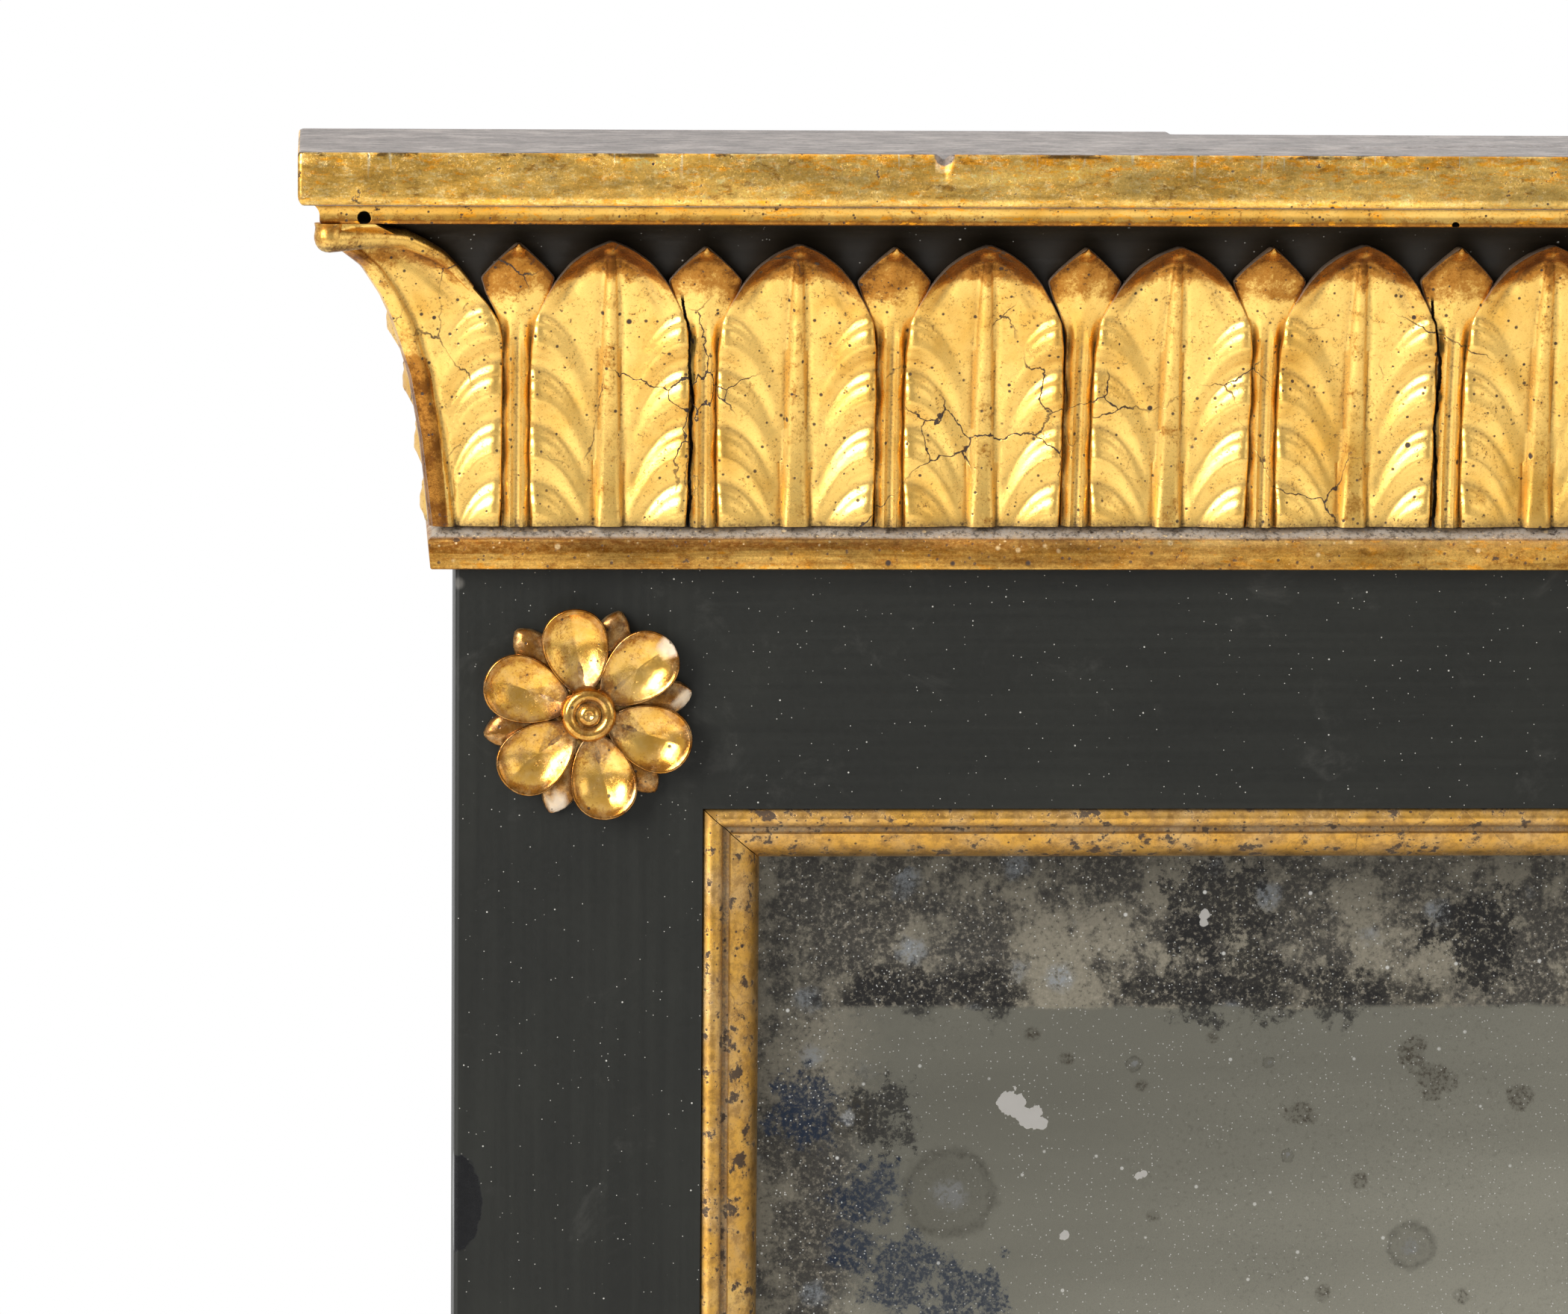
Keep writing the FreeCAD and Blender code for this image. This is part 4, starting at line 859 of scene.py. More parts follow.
def bare_pine(name, grain):
    material, net, shader, place = new_material(name)
    wood = net.group(wood_group(), Place=place, Grain=grain, Wood=setting("mirror_finish").pine)
    look = {label: wood[label] for label in ("Color", "Roughness", "Height")}
    dress(net, shader, look, 0.5, 0.25)
    return material


def board_pine():
    return bare_pine("bare pine, boards", (0.05, 1.0, 1.0))


def block_pine():
    return bare_pine("bare pine, blocks", (0.25, 1.0, 0.25))


def old_iron():
    """Forged iron, dark brown with rust."""
    material, net, shader, place = new_material("old iron")
    patch = net.noise(place, 0.25, 6.0, 0.65)
    fine = net.noise(place, 1.4, 6.0, 0.7)
    rust = net.step(patch, 0.45, 0.68)
    colour = net.mix(rust, (0.05, 0.046, 0.043, 1), (0.12, 0.046, 0.018, 1))
    colour = net.mix(net.step(fine, 0.5, 0.75, 0.0, 0.5), colour, (0.02, 0.015, 0.012, 1))
    rough = net.plus(net.step(fine, 0.3, 0.7, 0.42, 0.6), net.times(rust, 0.2))
    metal = net.step(rust, 0.0, 1.0, 0.9, 0.15)
    look = {"Color": colour, "Roughness": rough, "Metallic": metal, "Height": fine}
    dress(net, shader, look, 0.5, 0.2)
    return material


FINISHES = {}


def finish_of(maker):
    """Makes a material the first time that it is asked for."""
    if maker not in FINISHES:
        FINISHES[maker] = maker()
    return FINISHES[maker]


def clothe(node, maker):
    """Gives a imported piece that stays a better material."""
    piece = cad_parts[node]
    piece.data.materials.clear()
    piece.data.materials.append(finish_of(maker))


# Geometry Nodes trees
def node_tree(name, inputs):
    tree = bpy.data.node_groups.new(name, "GeometryNodeTree")
    tree.interface.new_socket("Geometry", in_out="INPUT", socket_type="NodeSocketGeometry")
    for label, kind in inputs:
        tree.interface.new_socket(label, in_out="INPUT", socket_type=kind)
    tree.interface.new_socket("Geometry", in_out="OUTPUT", socket_type="NodeSocketGeometry")
    return tree, Net(tree), tree.nodes.new("NodeGroupInput").outputs


def copies(net, points, shape, turn, scale=None):
    """Sets a copy of a shape on every point."""
    return net.fill(net.add("GeometryNodeInstanceOnPoints"), {
        "Points": points, "Instance": shape, "Rotation": turn, "Scale": scale})[0]


def close_tree(net, geometry, material):
    """Makes the copies real and gives them their material."""
    whole = net.add("GeometryNodeRealizeInstances", geometry).outputs[0]
    coated = net.fill(net.add("GeometryNodeSetMaterial"), {"Geometry": whole, "Material": material})
    net.tree.links.new(coated[0], net.tree.nodes.new("NodeGroupOutput").inputs[0])


def chance(net, kind, lowest, highest, seed):
    node = net.add("FunctionNodeRandomValue", data_type=kind)
    first = 0 if kind == "FLOAT_VECTOR" else 2
    net.put(node.inputs[first], lowest)
    net.put(node.inputs[first + 1], highest)
    net.put(node.inputs["Seed"], seed)
    return node.outputs[0 if kind == "FLOAT_VECTOR" else 1]


def leaf_row_tree():
    """Sets copies of a leaf in a row, each with a slight lean and size of its own."""
    tree, net, given = node_tree("leaf row", [
        ("Count", "NodeSocketInt"), ("Pitch", VALUE), ("First place", VECTOR), ("Size spread", VALUE),
        ("Lean spread", VALUE), ("Seed", "NodeSocketInt"), ("Material", "NodeSocketMaterial")])
    step = net.add("ShaderNodeCombineXYZ", given["Pitch"]).outputs[0]
    line = net.fill(net.add("GeometryNodeMeshLine", mode="OFFSET"), {
        "Count": given["Count"], "Start Location": given["First place"], "Offset": step})
    lean = chance(net, "FLOAT", net.times(given["Lean spread"], -1.0), given["Lean spread"], given["Seed"])
    least = net.minus(1.0, given["Size spread"])
    size = chance(net, "FLOAT", least, 1.0, net.plus(given["Seed"], 11.0))
    turn = net.add("ShaderNodeCombineXYZ", 0.0, lean).outputs[0]
    scale = net.add("ShaderNodeCombineXYZ", 1.0, 1.0, size).outputs[0]
    close_tree(net, copies(net, line[0], given["Geometry"], turn, scale), given["Material"])
    return tree


def petal_ring_tree():
    """Sets copies of a petal in a ring and stands the ring on the frame's face."""
    tree, net, given = node_tree("petal ring", [
        ("Count", "NodeSocketInt"), ("First angle", VALUE), ("Centre", VECTOR), ("Size spread", VALUE),
        ("Seed", "NodeSocketInt"), ("Material", "NodeSocketMaterial")])
    points = net.add("GeometryNodePoints", given["Count"]).outputs[0]
    share = net.math("DIVIDE", net.add("GeometryNodeInputIndex").outputs[0], given["Count"])
    angle = net.plus(net.times(share, math.tau), given["First angle"])
    sway = chance(net, "FLOAT", -0.03, 0.03, given["Seed"])
    least = net.minus(1.0, given["Size spread"])
    size = chance(net, "FLOAT", least, 1.0, net.plus(given["Seed"], 5.0))
    turn = net.add("ShaderNodeCombineXYZ", 0.0, 0.0, net.plus(angle, sway)).outputs[0]
    scale = net.add("ShaderNodeCombineXYZ", size, size, 1.0).outputs[0]
    stood = net.fill(net.add("GeometryNodeTransform"), {
        "Geometry": copies(net, points, given["Geometry"], turn, scale), "Translation": given["Centre"],
        "Rotation": (math.pi / 2, 0.0, 0.0)})
    close_tree(net, stood[0], given["Material"])
    return tree


def fastener_tree():
    """Sets a fastener on every point, each turned by its own chance about its length."""
    tree, net, given = node_tree("fasteners", [
        ("Fastener", "NodeSocketObject"), ("Tilt", VALUE), ("Seed", "NodeSocketInt"),
        ("Material", "NodeSocketMaterial")])
    shape = net.add("GeometryNodeObjectInfo", given["Fastener"], transform_space="ORIGINAL")
    tilt = given["Tilt"]
    back = net.times(tilt, -1.0)
    turn = chance(net, "FLOAT_VECTOR", net.add("ShaderNodeCombineXYZ", back, -math.pi, back).outputs[0],
                  net.add("ShaderNodeCombineXYZ", tilt, math.pi, tilt).outputs[0], given["Seed"])
    close_tree(net, copies(net, given["Geometry"], shape.outputs["Geometry"], turn), given["Material"])
    return tree


TREES = {}


def run_tree(maker, mesh, name, values):
    """Runs a tree on a mesh and returns the plain object that it makes."""
    if maker not in TREES:
        TREES[maker] = maker()
    tree = TREES[maker]
    thing = new_object(f"{name}_source", mesh)
    modifier = thing.modifiers.new(tree.name, "NODES")
    modifier.node_group = tree
    sockets = {item.name: item.identifier for item in tree.interface.items_tree if item.in_out == "INPUT"}
    for label, value in values.items():
        modifier[sockets[label]] = value
    made = evaluated(thing, name)
    made.data.materials.clear()
    made.data.materials.append(values["Material"])
    made.data.polygons.foreach_set("material_index", [0] * len(made.data.polygons))
    return made


# Leaves
def waviness(place, size):
    """Slight unevenness of a hand-planed moulding."""
    return size * noise.noise(Vector((place / 37.0, 4.3, 0.7)))


def smooth_table(pairs, reach):
    """A function through pairs of values, smoothed over the given reach."""
    grid = np.arange(pairs[0][0], pairs[-1][0] + 0.05, 0.1) if reach > 0.5 else np.linspace(
        pairs[0][0], pairs[-1][0], 401)
    pitch = grid[1] - grid[0]
    values = np.interp(grid, *zip(*pairs))
    width = max(1, int(reach / pitch))
    padded = np.pad(values, width, mode="reflect", reflect_type="odd")
    window = np.hanning(2 * width + 1)
    values = np.convolve(padded, window / window.sum(), mode="valid")
    return lambda place: np.interp(place, grid, values)


def cove_out(height):
    """How far the cove stands out at a height above its foot: a long arc that turns into a short one."""
    run = COVE_OUT - COVE_FOOT
    body = (run ** 2 + COVE_HEIGHT ** 2 - 2 * COVE_HEIGHT * COVE_LIP) / (2 * (run - COVE_LIP))
    turn = body * (COVE_HEIGHT - COVE_LIP) / (body - COVE_LIP)
    height = np.asarray(height, float)
    low_part = COVE_FOOT + body - np.sqrt(np.maximum(body ** 2 - height ** 2, 0))
    rise = np.clip(height - (COVE_HEIGHT - COVE_LIP), 0, COVE_LIP)
    high_part = COVE_OUT - np.sqrt(np.maximum(COVE_LIP ** 2 - rise ** 2, 0))
    return np.where(height < turn, low_part, high_part)


# A big leaf in millimetres: its height, its greatest half width, the foot and the pitch of its lobes at the
# edge, how far from the middle they start, and how far and how sharply they sweep up on their way out
LEAF_TIP = 66.2
LEAF_WIDEST = 17.75
LOBE_FOOT = -2.9
LOBE_PITCH = 12.8
LOBE_START = 3.4
LOBE_SWEEP = 17.5
LOBE_BEND = 2.3
# Above this height the head of a leaf is lower than its tables say, by this share
HEAD_FOOT = 46.0
HEAD_DROP = 0.09
leaf_width = smooth_table([(0, 17.2), (10, 17.65), (30, LEAF_WIDEST), (40, 17.5), (46.4, 16.8),
                           (51.2, 14.7), (56.3, 12.1), (60.7, 9.0), (64.3, 4.6), (65.6, 2.0),
                           (LEAF_TIP, 0.7)], 2.0)
small_width = smooth_table([(0, 3.4), (40, 3.4), (44, 3.7), (49.2, 5.3), (53, 7.1), (57, 8.2),
                            (60, 5.9), (63, 3.1), (65.0, 1.1), (65.6, 0.5)], 1.0)
lobe_form = smooth_table([(0, 0.0), (0.18, 0.26), (0.34, 0.74), (0.45, 1.0), (0.54, 0.97), (0.72, 0.64),
                          (0.79, 0.48), (0.84, 0.47), (0.9, 0.34), (1, 0.0)], 0.035)
tip_form = smooth_table([(0, 0), (43, 0), (50, 0.13), (57, 0.37), (62, 0.7), (64.5, 0.95),
                         (LEAF_TIP, 1.0)], 1.5)


def bell(value, width):
    return np.exp(-(value / width) ** 2)


def ramp(value, start, end):
    share = np.clip((value - start) / (end - start), 0, 1)
    return share * share * (3 - 2 * share)


def leaf_relief(across, height, rib_scale=1.0):
    """Thickness and marks of a big leaf at a distance from its midrib and a height above its foot."""
    carving = setting("mirror_carving")
    lobe_height = carving.lobe_height / MM
    rib_height = carving.midrib_height / MM
    curl = carving.tip_curl / MM
    half = leaf_width(height)
    slope = (leaf_width(height + 0.2) - leaf_width(height - 0.2)) / 0.4
    margin = (half - across) / np.sqrt(1 + slope ** 2)
    share = np.clip((across - LOBE_START) / (LEAF_WIDEST - LOBE_START), 0, 1)
    turn = (height + LOBE_SWEEP * (1 - share) ** LOBE_BEND - LOBE_FOOT) / LOBE_PITCH
    in_lobe = turn - np.floor(turn)
    top = ramp(turn, 3.95, 4.25)
    strength = share ** 0.8 * (1 - 0.8 * top) * ramp(height, -6, 6) * (0.85 + 0.3 * ramp(height, 12, 44))
    fine = 0.09 * np.sin(in_lobe * math.tau * 5.0) * share * (1 - top)
    strength = strength * (1 - 0.3 * bell(margin, 1.4))
    thick = 1.6 + 1.5 * share ** 2 + lobe_height * strength * lobe_form(in_lobe) + fine
    rib = rib_scale * (2.9 - 2.0 * height / LEAF_TIP)
    rib_rise = rib_height * (1 - 0.45 * height / LEAF_TIP) * (1 - ramp(height, 56, 64))
    thick += rib_rise * (1 - ramp(across, rib - 0.45, rib + 0.3))
    thick += 0.25 * np.clip(1 - (across / rib) ** 2, 0, 1)
    thick -= 0.4 * bell(across - rib - 0.8, 0.6) * (1 - ramp(height, 54, 62))
    rim = tip_form(height)
    thick += curl * rim * bell(margin, 2.2)
    thick -= 0.55 * bell(margin - 4.0, 1.3) * ramp(height, 45, 52)
    thick += 2.5 * bell(across, 1.5) * bell(height - 63.6, 1.3)
    thick -= 0.5 * bell(margin, 0.7) * (1 - ramp(height, 46, 54))
    # Grime and painted shade: the recess mark darkens the grooves between the lobes, the line beside the
    # midrib, the hollow under the rolled rim of the head and the foot of the leaf
    groove = bell(np.minimum(in_lobe, 1 - in_lobe), 0.06) * share * (1 - top)
    line = bell(across - rib - 0.5, 0.5) * 0.75 * (1 - ramp(height, 50, 60))
    under = bell(margin - 3.6, 0.9) * ramp(height, 47, 54) * 0.8
    recess = np.clip(0.6 * groove + 0.7 * line + 0.6 * under + 0.8 * bell(height, 1.6), 0, 1)
    nib = bell(across, 1.5) * bell(height - 63.7, 1.5)
    amber = 0.75 * ramp(height, 46, 56) * bell(margin, 2.2) + 0.9 * ramp(height, 53.5, 61) - 1.0 * nib
    amber = np.clip(amber + 0.32 * (1 - ramp(across, rib - 0.5, rib + 0.3)), 0, 1.12)
    return thick, recess, amber


def small_relief(across, height):
    """Thickness and marks of a small leaf between two big ones, and of its ribbed stem."""
    half = small_width(height)
    head = ramp(height, 40, 50)
    stem = 3.3 + 0.9 * bell(across - 1.35, 0.6) - 1.3 * ramp(across, 2.1, 3.0)
    blade = 2.3 + 1.0 * np.clip(1 - (across / half) ** 2, 0, 1) + 0.3 * bell(across, 0.8)
    thick = stem * (1 - head) + blade * head
    slope = (small_width(height + 0.2) - small_width(height - 0.2)) / 0.4
    margin = (half - across) / np.sqrt(1 + slope ** 2)
    thick += 1.8 * ramp(height, 56, 65) * bell(margin, 2.0)
    # Grime and painted shade: the recess mark darkens the groove between the ribs of the stem, its sides
    # where it drops below the big leaves, and the foot
    hollow = 0.7 * bell(across, 0.45) + 0.9 * ramp(across, 2.2, 3.0)
    recess = np.clip(hollow * (1 - head) + 0.8 * bell(height, 1.6), 0, 1)
    nib = bell(across, 1.2) * bell(height - 64.2, 1.4)
    thick += 1.2 * nib
    amber = np.clip(ramp(height, 47, 57) * (0.7 + 0.4 * bell(margin, 1.6)) - 0.6 * nib, 0, 1)
    return thick, recess, amber


# Edge of a leaf: distance in from the edge in millimetres, share of the thickness, mark of grime and
# painted shade
LEAF_EDGE = ((0.24, 0.97, 0.0), (0.06, 0.86, 0.05), (0.0, 0.6, 0.3), (0.08, 0.0, 1.0))
EDGE_WIDTH = 0.3
# Thickness of the glue under the carving in millimetres
GLUE = 0.1


def leaf_mesh(name, relief, width, rows, columns, turn):
    """A leaf as rings across it, from its foot to its tip, standing on the cove."""
    rings, recess, amber, dust = [], [], [], []
    shares = np.sin(np.linspace(-1, 1, columns) * math.pi / 2 * 0.82) / math.sin(math.pi / 2 * 0.82)
    for height in rows:
        half = float(width(height)) + waviness(height * 7 + 300 * turn, 0.14)
        inner = max(half - EDGE_WIDTH, half * 0.5)
        across = shares * inner
        # The second value is the recess mark: grime and painted shade
        thick, dirt_and_shade, tone = relief(np.abs(across), np.full(columns, height))
        wall = thick[-1]
        squeeze = (half - inner) / EDGE_WIDTH
        sides = [(half - gap * squeeze, wall * part, mark) for gap, part, mark in LEAF_EDGE]
        rise = height - HEAD_DROP * max(height - HEAD_FOOT, 0)
        out = cove_out(rise) + GLUE
        left = [(-reach, -out - part, rise) for reach, part, _ in reversed(sides)]
        middle = [(x, -out - t, rise) for x, t in zip(across, thick)]
        right = [(reach, -out - part, rise) for reach, part, _ in sides]
        rings.append(left + middle + right)
        pale = [0.55 * float(ramp(height, 43, 50))] * len(sides)
        dust.append(pale + [0] * columns + pale)
        marks = [mark for *_, mark in sides]
        recess.append(marks[::-1] + list(dirt_and_shade) + marks)
        amber.append([tone[0]] * len(sides) + list(tone) + [tone[-1]] * len(sides))
    length = len(rings[0])
    points = np.array(rings).reshape(-1, 3)
    amber = np.ravel(amber)
    marks = {"recess": np.ravel(recess) * (1 - 0.8 * amber), "amber": amber, "dust": np.ravel(dust)}
    return skin(name, points, ring_faces(len(rings), length), marks)


BIG_ROWS = np.concatenate([np.linspace(0, 46, 74, endpoint=False), np.linspace(46, 62, 30, endpoint=False),
                           np.linspace(62, LEAF_TIP, 14)])
SMALL_ROWS = np.concatenate([np.linspace(0, 38, 12, endpoint=False), np.linspace(38, 65.6, 46)])


def shifted(mesh, move):
    mesh.transform(Matrix.Translation(Vector(move) * MM))
    return mesh


def leaf_unit(turn):
    """One big leaf with the small leaf on its left, about the foot of its midrib."""
    big = leaf_mesh("big_leaf", leaf_relief, leaf_width, BIG_ROWS, 55, turn)
    return joined_mesh("leaf_unit", [big, small_leaf(-LEAF_PITCH / 2 + SMALL_SHIFT, turn)])


def small_leaf(across, turn):
    small = leaf_mesh("small_leaf", small_relief, small_width, SMALL_ROWS, 19, turn + 0.4)
    return shifted(small, (across, 0, 0))


# Front half of the leaf on the mitre: height above its foot, gap between its rim and its right edge
corner_gap = smooth_table([(0, 0.5), (6, 0.1), (20, 0), (42, 0), (46, 0.9), (50, 3.4), (54, 6.8),
                           (58, 10.2), (61, 13.4), (63.2, 17.4), (65.5, 22.5),
                           (COVE_HEIGHT, 28.0)], 1.0)
CORNER_ROWS = BIG_ROWS * (COVE_HEIGHT - 0.05) / LEAF_TIP
# How far the arris of that leaf stands out, by height
corner_out = smooth_table([(0, 5.0), (20, 7.4), (34, 9.9), (46.9, 14.0), (52.2, 16.4), (58.8, 20.6),
                           (62.4, 25.0), (64.2, 27.4), (66, 28.8), (COVE_HEIGHT, 29.2)], 1.0)


def corner_relief(share, height):
    """Thickness and marks of the leaf on the mitre, its ridge rounded off."""
    like = height * LEAF_TIP / COVE_HEIGHT
    thick, recess, amber = leaf_relief(share * leaf_width(like), like, 1.9)
    thick = thick - 1.1 * bell(share, 0.1)
    wanted = corner_out(height) - cove_out(height)
    thick = thick + (wanted - thick[0]) * bell(share, 0.5)
    thick = np.minimum(thick, CROWN_OUT - 2.0 - cove_out(height))
    amber = amber * (1 - 0.85 * ramp(height, 60.5, 64.5))
    amber = np.clip(amber + 0.6 * (share < 0.24) * ramp(-height, -46, -30), 0, 1)
    return thick, recess, amber


# How far out the knob of that leaf stands
KNOB_OUT = CROWN_OUT - 3.3


def tip_knob():
    """The knob in which the leaf on the mitre ends under the crown bead."""
    profile = [(0.02, 0), (0.9, 0.1), (1.7, 0.4), (2.4, 1.0), (2.9, 1.8), (3.2, 2.8), (3.25, 3.6),
               (3.1, 4.5), (3.0, 5.4), (3.2, 6.4), (0.02, 6.4)]
    points, faces = turned(profile, 28)
    points += (-SIDE - KNOB_OUT, FRONT - KNOB_OUT, CROWN_LOW - 6.35)
    return skin("tip_knob", points, faces, roll_marks(points))


def roll_marks(points):
    """Grime and painted shade under the rolled tip, and a touch of amber on it."""
    grime_and_shade = 0.8 * ramp(CROWN_LOW - points[:, 2], 3.4, 5.6) * ramp(-SIDE - points[:, 0], 8, 20)
    return {"recess": grime_and_shade, "amber": 0.42}


# Roll along the rim of that leaf: distance below the crown bead, radius
ROLL = ((3.3, 3.1), (3.2, 2.9), (3.1, 2.7), (3.2, 2.4), (3.7, 2.1), (5.8, 1.8), (8.0, 1.5), (11.0, 1.2),
        (15.0, 0.8))


def tip_roll():
    """The rolled rim of the leaf on the mitre, from its knob down along the front."""
    below, radius = (np.interp(np.linspace(0, 8, 41), range(9), values) for values in zip(*ROLL))
    height = COVE_HEIGHT - below
    rim = CORNER_EDGE - corner_gap(height) - 0.6
    edge = np.array([corner_relief(np.ones(1), np.full(1, place))[0][0] for place in height])
    reach = np.minimum(cove_out(height) + edge - 0.5 * radius, KNOB_OUT)
    lead = np.clip(np.arange(41) / 20.0, 0, 1)
    centre = np.column_stack([
        (1 - lead) * (-SIDE - KNOB_OUT) + lead * rim, FRONT - (1 - lead) * KNOB_OUT - lead * reach,
        COVE_LOW + height])
    line = np.gradient(centre, axis=0)
    line /= np.linalg.norm(line, axis=1)[:, None]
    across = np.cross(line, (0, 1, 0))
    across /= np.linalg.norm(across, axis=1)[:, None]
    rise = np.cross(across, line)
    turn = np.linspace(0, math.tau, 16, endpoint=False)
    rings = [c + r * (np.outer(np.cos(turn), a) + np.outer(np.sin(turn), u))
             for c, r, a, u in zip(centre, radius, across, rise)]
    points = np.vstack(rings)
    return skin("tip_roll", points, ring_faces(len(rings), 16), roll_marks(points))


def corner_leaf():
    """A leaf folded over the left mitre: its front half and the mirror image of that on the return."""
    shares = np.concatenate([np.linspace(0, 0.24, 9, endpoint=False), np.linspace(0.24, 1, 26)])
    rings, recess, amber = [], [], []
    for height in CORNER_ROWS:
        thick, dirt_and_shade, tone = corner_relief(shares, np.full(len(shares), height))
        out = cove_out(height) + GLUE
        span = SIDE + out + thick[0] + CORNER_EDGE
        arch = span - float(corner_gap(height))
        start = -SIDE - out - thick[0]
        wall = thick[-1]
        blade = arch - EDGE_WIDTH
        row = [(start + part * blade, FRONT - out - t, height) for part, t in zip(shares, thick)]
        row += [(start + arch - gap, FRONT - out - wall * part, height) for gap, part, _ in LEAF_EDGE]
        row.append((-SIDE - out, FRONT - out, height))
        rings.append(row)
        # Grime and painted shade: the edge marks, and the full mark where the leaf meets the cove
        recess.append(list(dirt_and_shade) + [mark for *_, mark in LEAF_EDGE] + [1.0])
        amber.append(list(tone) + [tone[-1]] * (len(LEAF_EDGE) + 1))
    points = np.array(rings).reshape(-1, 3)
    points[:, 2] += COVE_LOW
    faces = ring_faces(len(rings), len(rings[0]), closed=False)
    back = points.copy()
    proud = np.concatenate([ramp(shares, 0.35, 0.75), [1, 1, 1, 0, 0]])
    proud = 1.2 * np.outer(1 - ramp(CORNER_ROWS, 48, 58), proud).ravel()
    back[:, 0] = -SIDE - (FRONT - points[:, 1]) - proud
    back[:, 1] = FRONT + points[:, 0] + SIDE
    total = len(points)
    faces += [tuple(total + place for place in reversed(face)) for face in faces]
    amber = np.tile(np.ravel(amber), 2)
    recess = np.tile(np.ravel(recess), 2) * (1 - 0.8 * amber)
    mesh = skin("corner_leaf", np.vstack([points, back]), faces, {"recess": recess, "amber": amber})
    with editing(mesh) as shell:
        bmesh.ops.remove_doubles(shell, verts=shell.verts, dist=1e-7)
        inner = [face for face in shell.faces if all(len(edge.link_faces) > 2 for edge in face.edges)]
        bmesh.ops.delete(shell, geom=inner, context="FACES")
        bmesh.ops.recalc_face_normals(shell, faces=shell.faces)
    shade(mesh, CARVED)
    return mesh


def on_return(mesh):
    """Turns a mesh on the front over the left mitre and cuts it at the back of the frame."""
    reach = (SIDE + FRONT) * MM
    swap = Matrix(((0, 1, 0, -reach), (1, 0, 0, reach), (0, 0, 1, 0), (0, 0, 0, 1)))
    with editing(mesh) as shell:
        bmesh.ops.transform(shell, matrix=swap, verts=shell.verts)
        parts = shell.verts[:] + shell.edges[:] + shell.faces[:]
        bmesh.ops.bisect_plane(
            shell, geom=parts, plane_co=(0, BACK * MM, 0), plane_no=(0, 1, 0), clear_outer=True)
        bmesh.ops.holes_fill(shell, edges=[edge for edge in shell.edges if edge.is_boundary])
        bmesh.ops.recalc_face_normals(shell, faces=shell.faces)
    shade(mesh, CARVED)
    return mesh


def mirrored(mesh, name):
    """The same mesh on the other side of the mirror."""
    other = mesh.copy()
    other.name = name
    with editing(other) as shell:
        bmesh.ops.transform(shell, matrix=Matrix.Scale(-1, 4, (1, 0, 0)), verts=shell.verts)
        bmesh.ops.recalc_face_normals(shell, faces=shell.faces)
    shade(other, CARVED)
    return other


class OVERMANTEL_OT_leaves(bpy.types.Operator):
    """Carves the gilt leaves and sets them on the cove"""
    bl_idname = "overmantel.leaves"
    bl_label = "Leaves"

    def execute(self, context):
        carving = setting("mirror_carving")
        gold = finish_of(gilt_leaves)
        for strip in range(1, STRIP_COUNT + 1):
            first = FIRST_LEAF + (1 + STRIP_LEAVES * (strip - 1)) * LEAF_PITCH
            row = run_tree(leaf_row_tree, leaf_unit(strip), f"gilt_leaf_strip_{strip}", {
                "Count": STRIP_LEAVES, "Pitch": LEAF_PITCH * MM,
                "First place": Vector((first, FRONT, COVE_LOW)) * MM, "Size spread": carving.size_spread,
                "Lean spread": carving.lean_spread, "Seed": carving.seed + strip, "Material": gold})
            finished(row, [f"leaf_strip_{strip}"])
        unit = shifted(leaf_unit(0), (FIRST_LEAF, FRONT, COVE_LOW))
        left = joined_mesh("gilt_leaf_corner_left", [
            corner_leaf(), tip_knob(), tip_roll(), on_return(tip_roll()), unit])
        last_small = shifted(small_leaf(-LEAF_PITCH / 2 + SMALL_SHIFT, 6), (-FIRST_LEAF, FRONT, COVE_LOW))
        right = joined_mesh("gilt_leaf_corner_right", [mirrored(left, "right"), last_small])
        side = on_return(shifted(leaf_unit(7), (FIRST_LEAF, FRONT, COVE_LOW)))
        side.name = "gilt_leaf_return_left"
        other = mirrored(side, "gilt_leaf_return_right")
        for mesh, node in (
                (left, "leaf_corner_left"), (right, "leaf_corner_right"), (side, "leaf_return_left"),
                (other, "leaf_return_right")):
            mesh.materials.append(gold)
            finished(new_object(mesh.name, mesh), [node])
        return {"FINISHED"}


# Mouldings of the cornice
def mitred_run(outline, hand, step=4.0):
    """Rings of points of a moulding along one side of the frame, mitred at the corners."""
    out, height = outline[:, 0], outline[:, 1]
    rings = []
    if hand == "front":
        count = int(2 * (SIDE + out.max()) / step)
        for share in np.linspace(0, 1, count):
            ease = min(1.0, 12 * share, 12 * (1 - share))
            x = (2 * share - 1) * (SIDE + out)
            bend = ease * np.array([waviness(place, 0.12) for place in x]) * (out > 1)
            rings.append(np.column_stack([x, FRONT - out + np.abs(bend), height]))
    else:
        sign = -1 if hand == "left" else 1
        for share in np.linspace(0, 1, 18):
            y = FRONT - out + share * (BACK - FRONT + out)
            rings.append(np.column_stack([sign * (SIDE + out), y, height]))
    return np.array(rings)


def run_marks(marks, count):
    """Grime and painted shade, amber and dust of an outline's points, repeated for every ring of a run."""
    return {label: np.tile(values, count) for label, values in zip(MARKS, np.transpose(marks))}


def moulding(name, corners, hand, nodes):
    """A mitred gilt moulding. The marks of a corner are grime and painted shade, amber and dust."""
    outline, marks = rounded(corners)
    rings = mitred_run(outline, hand)
    faces = ring_faces(len(rings), len(outline))
    mesh = skin(name, rings.reshape(-1, 3), faces, run_marks(marks, len(rings)), 40)
    mesh.materials.append(finish_of(gilt_mouldings))
    return finished(new_object(name, mesh), nodes)


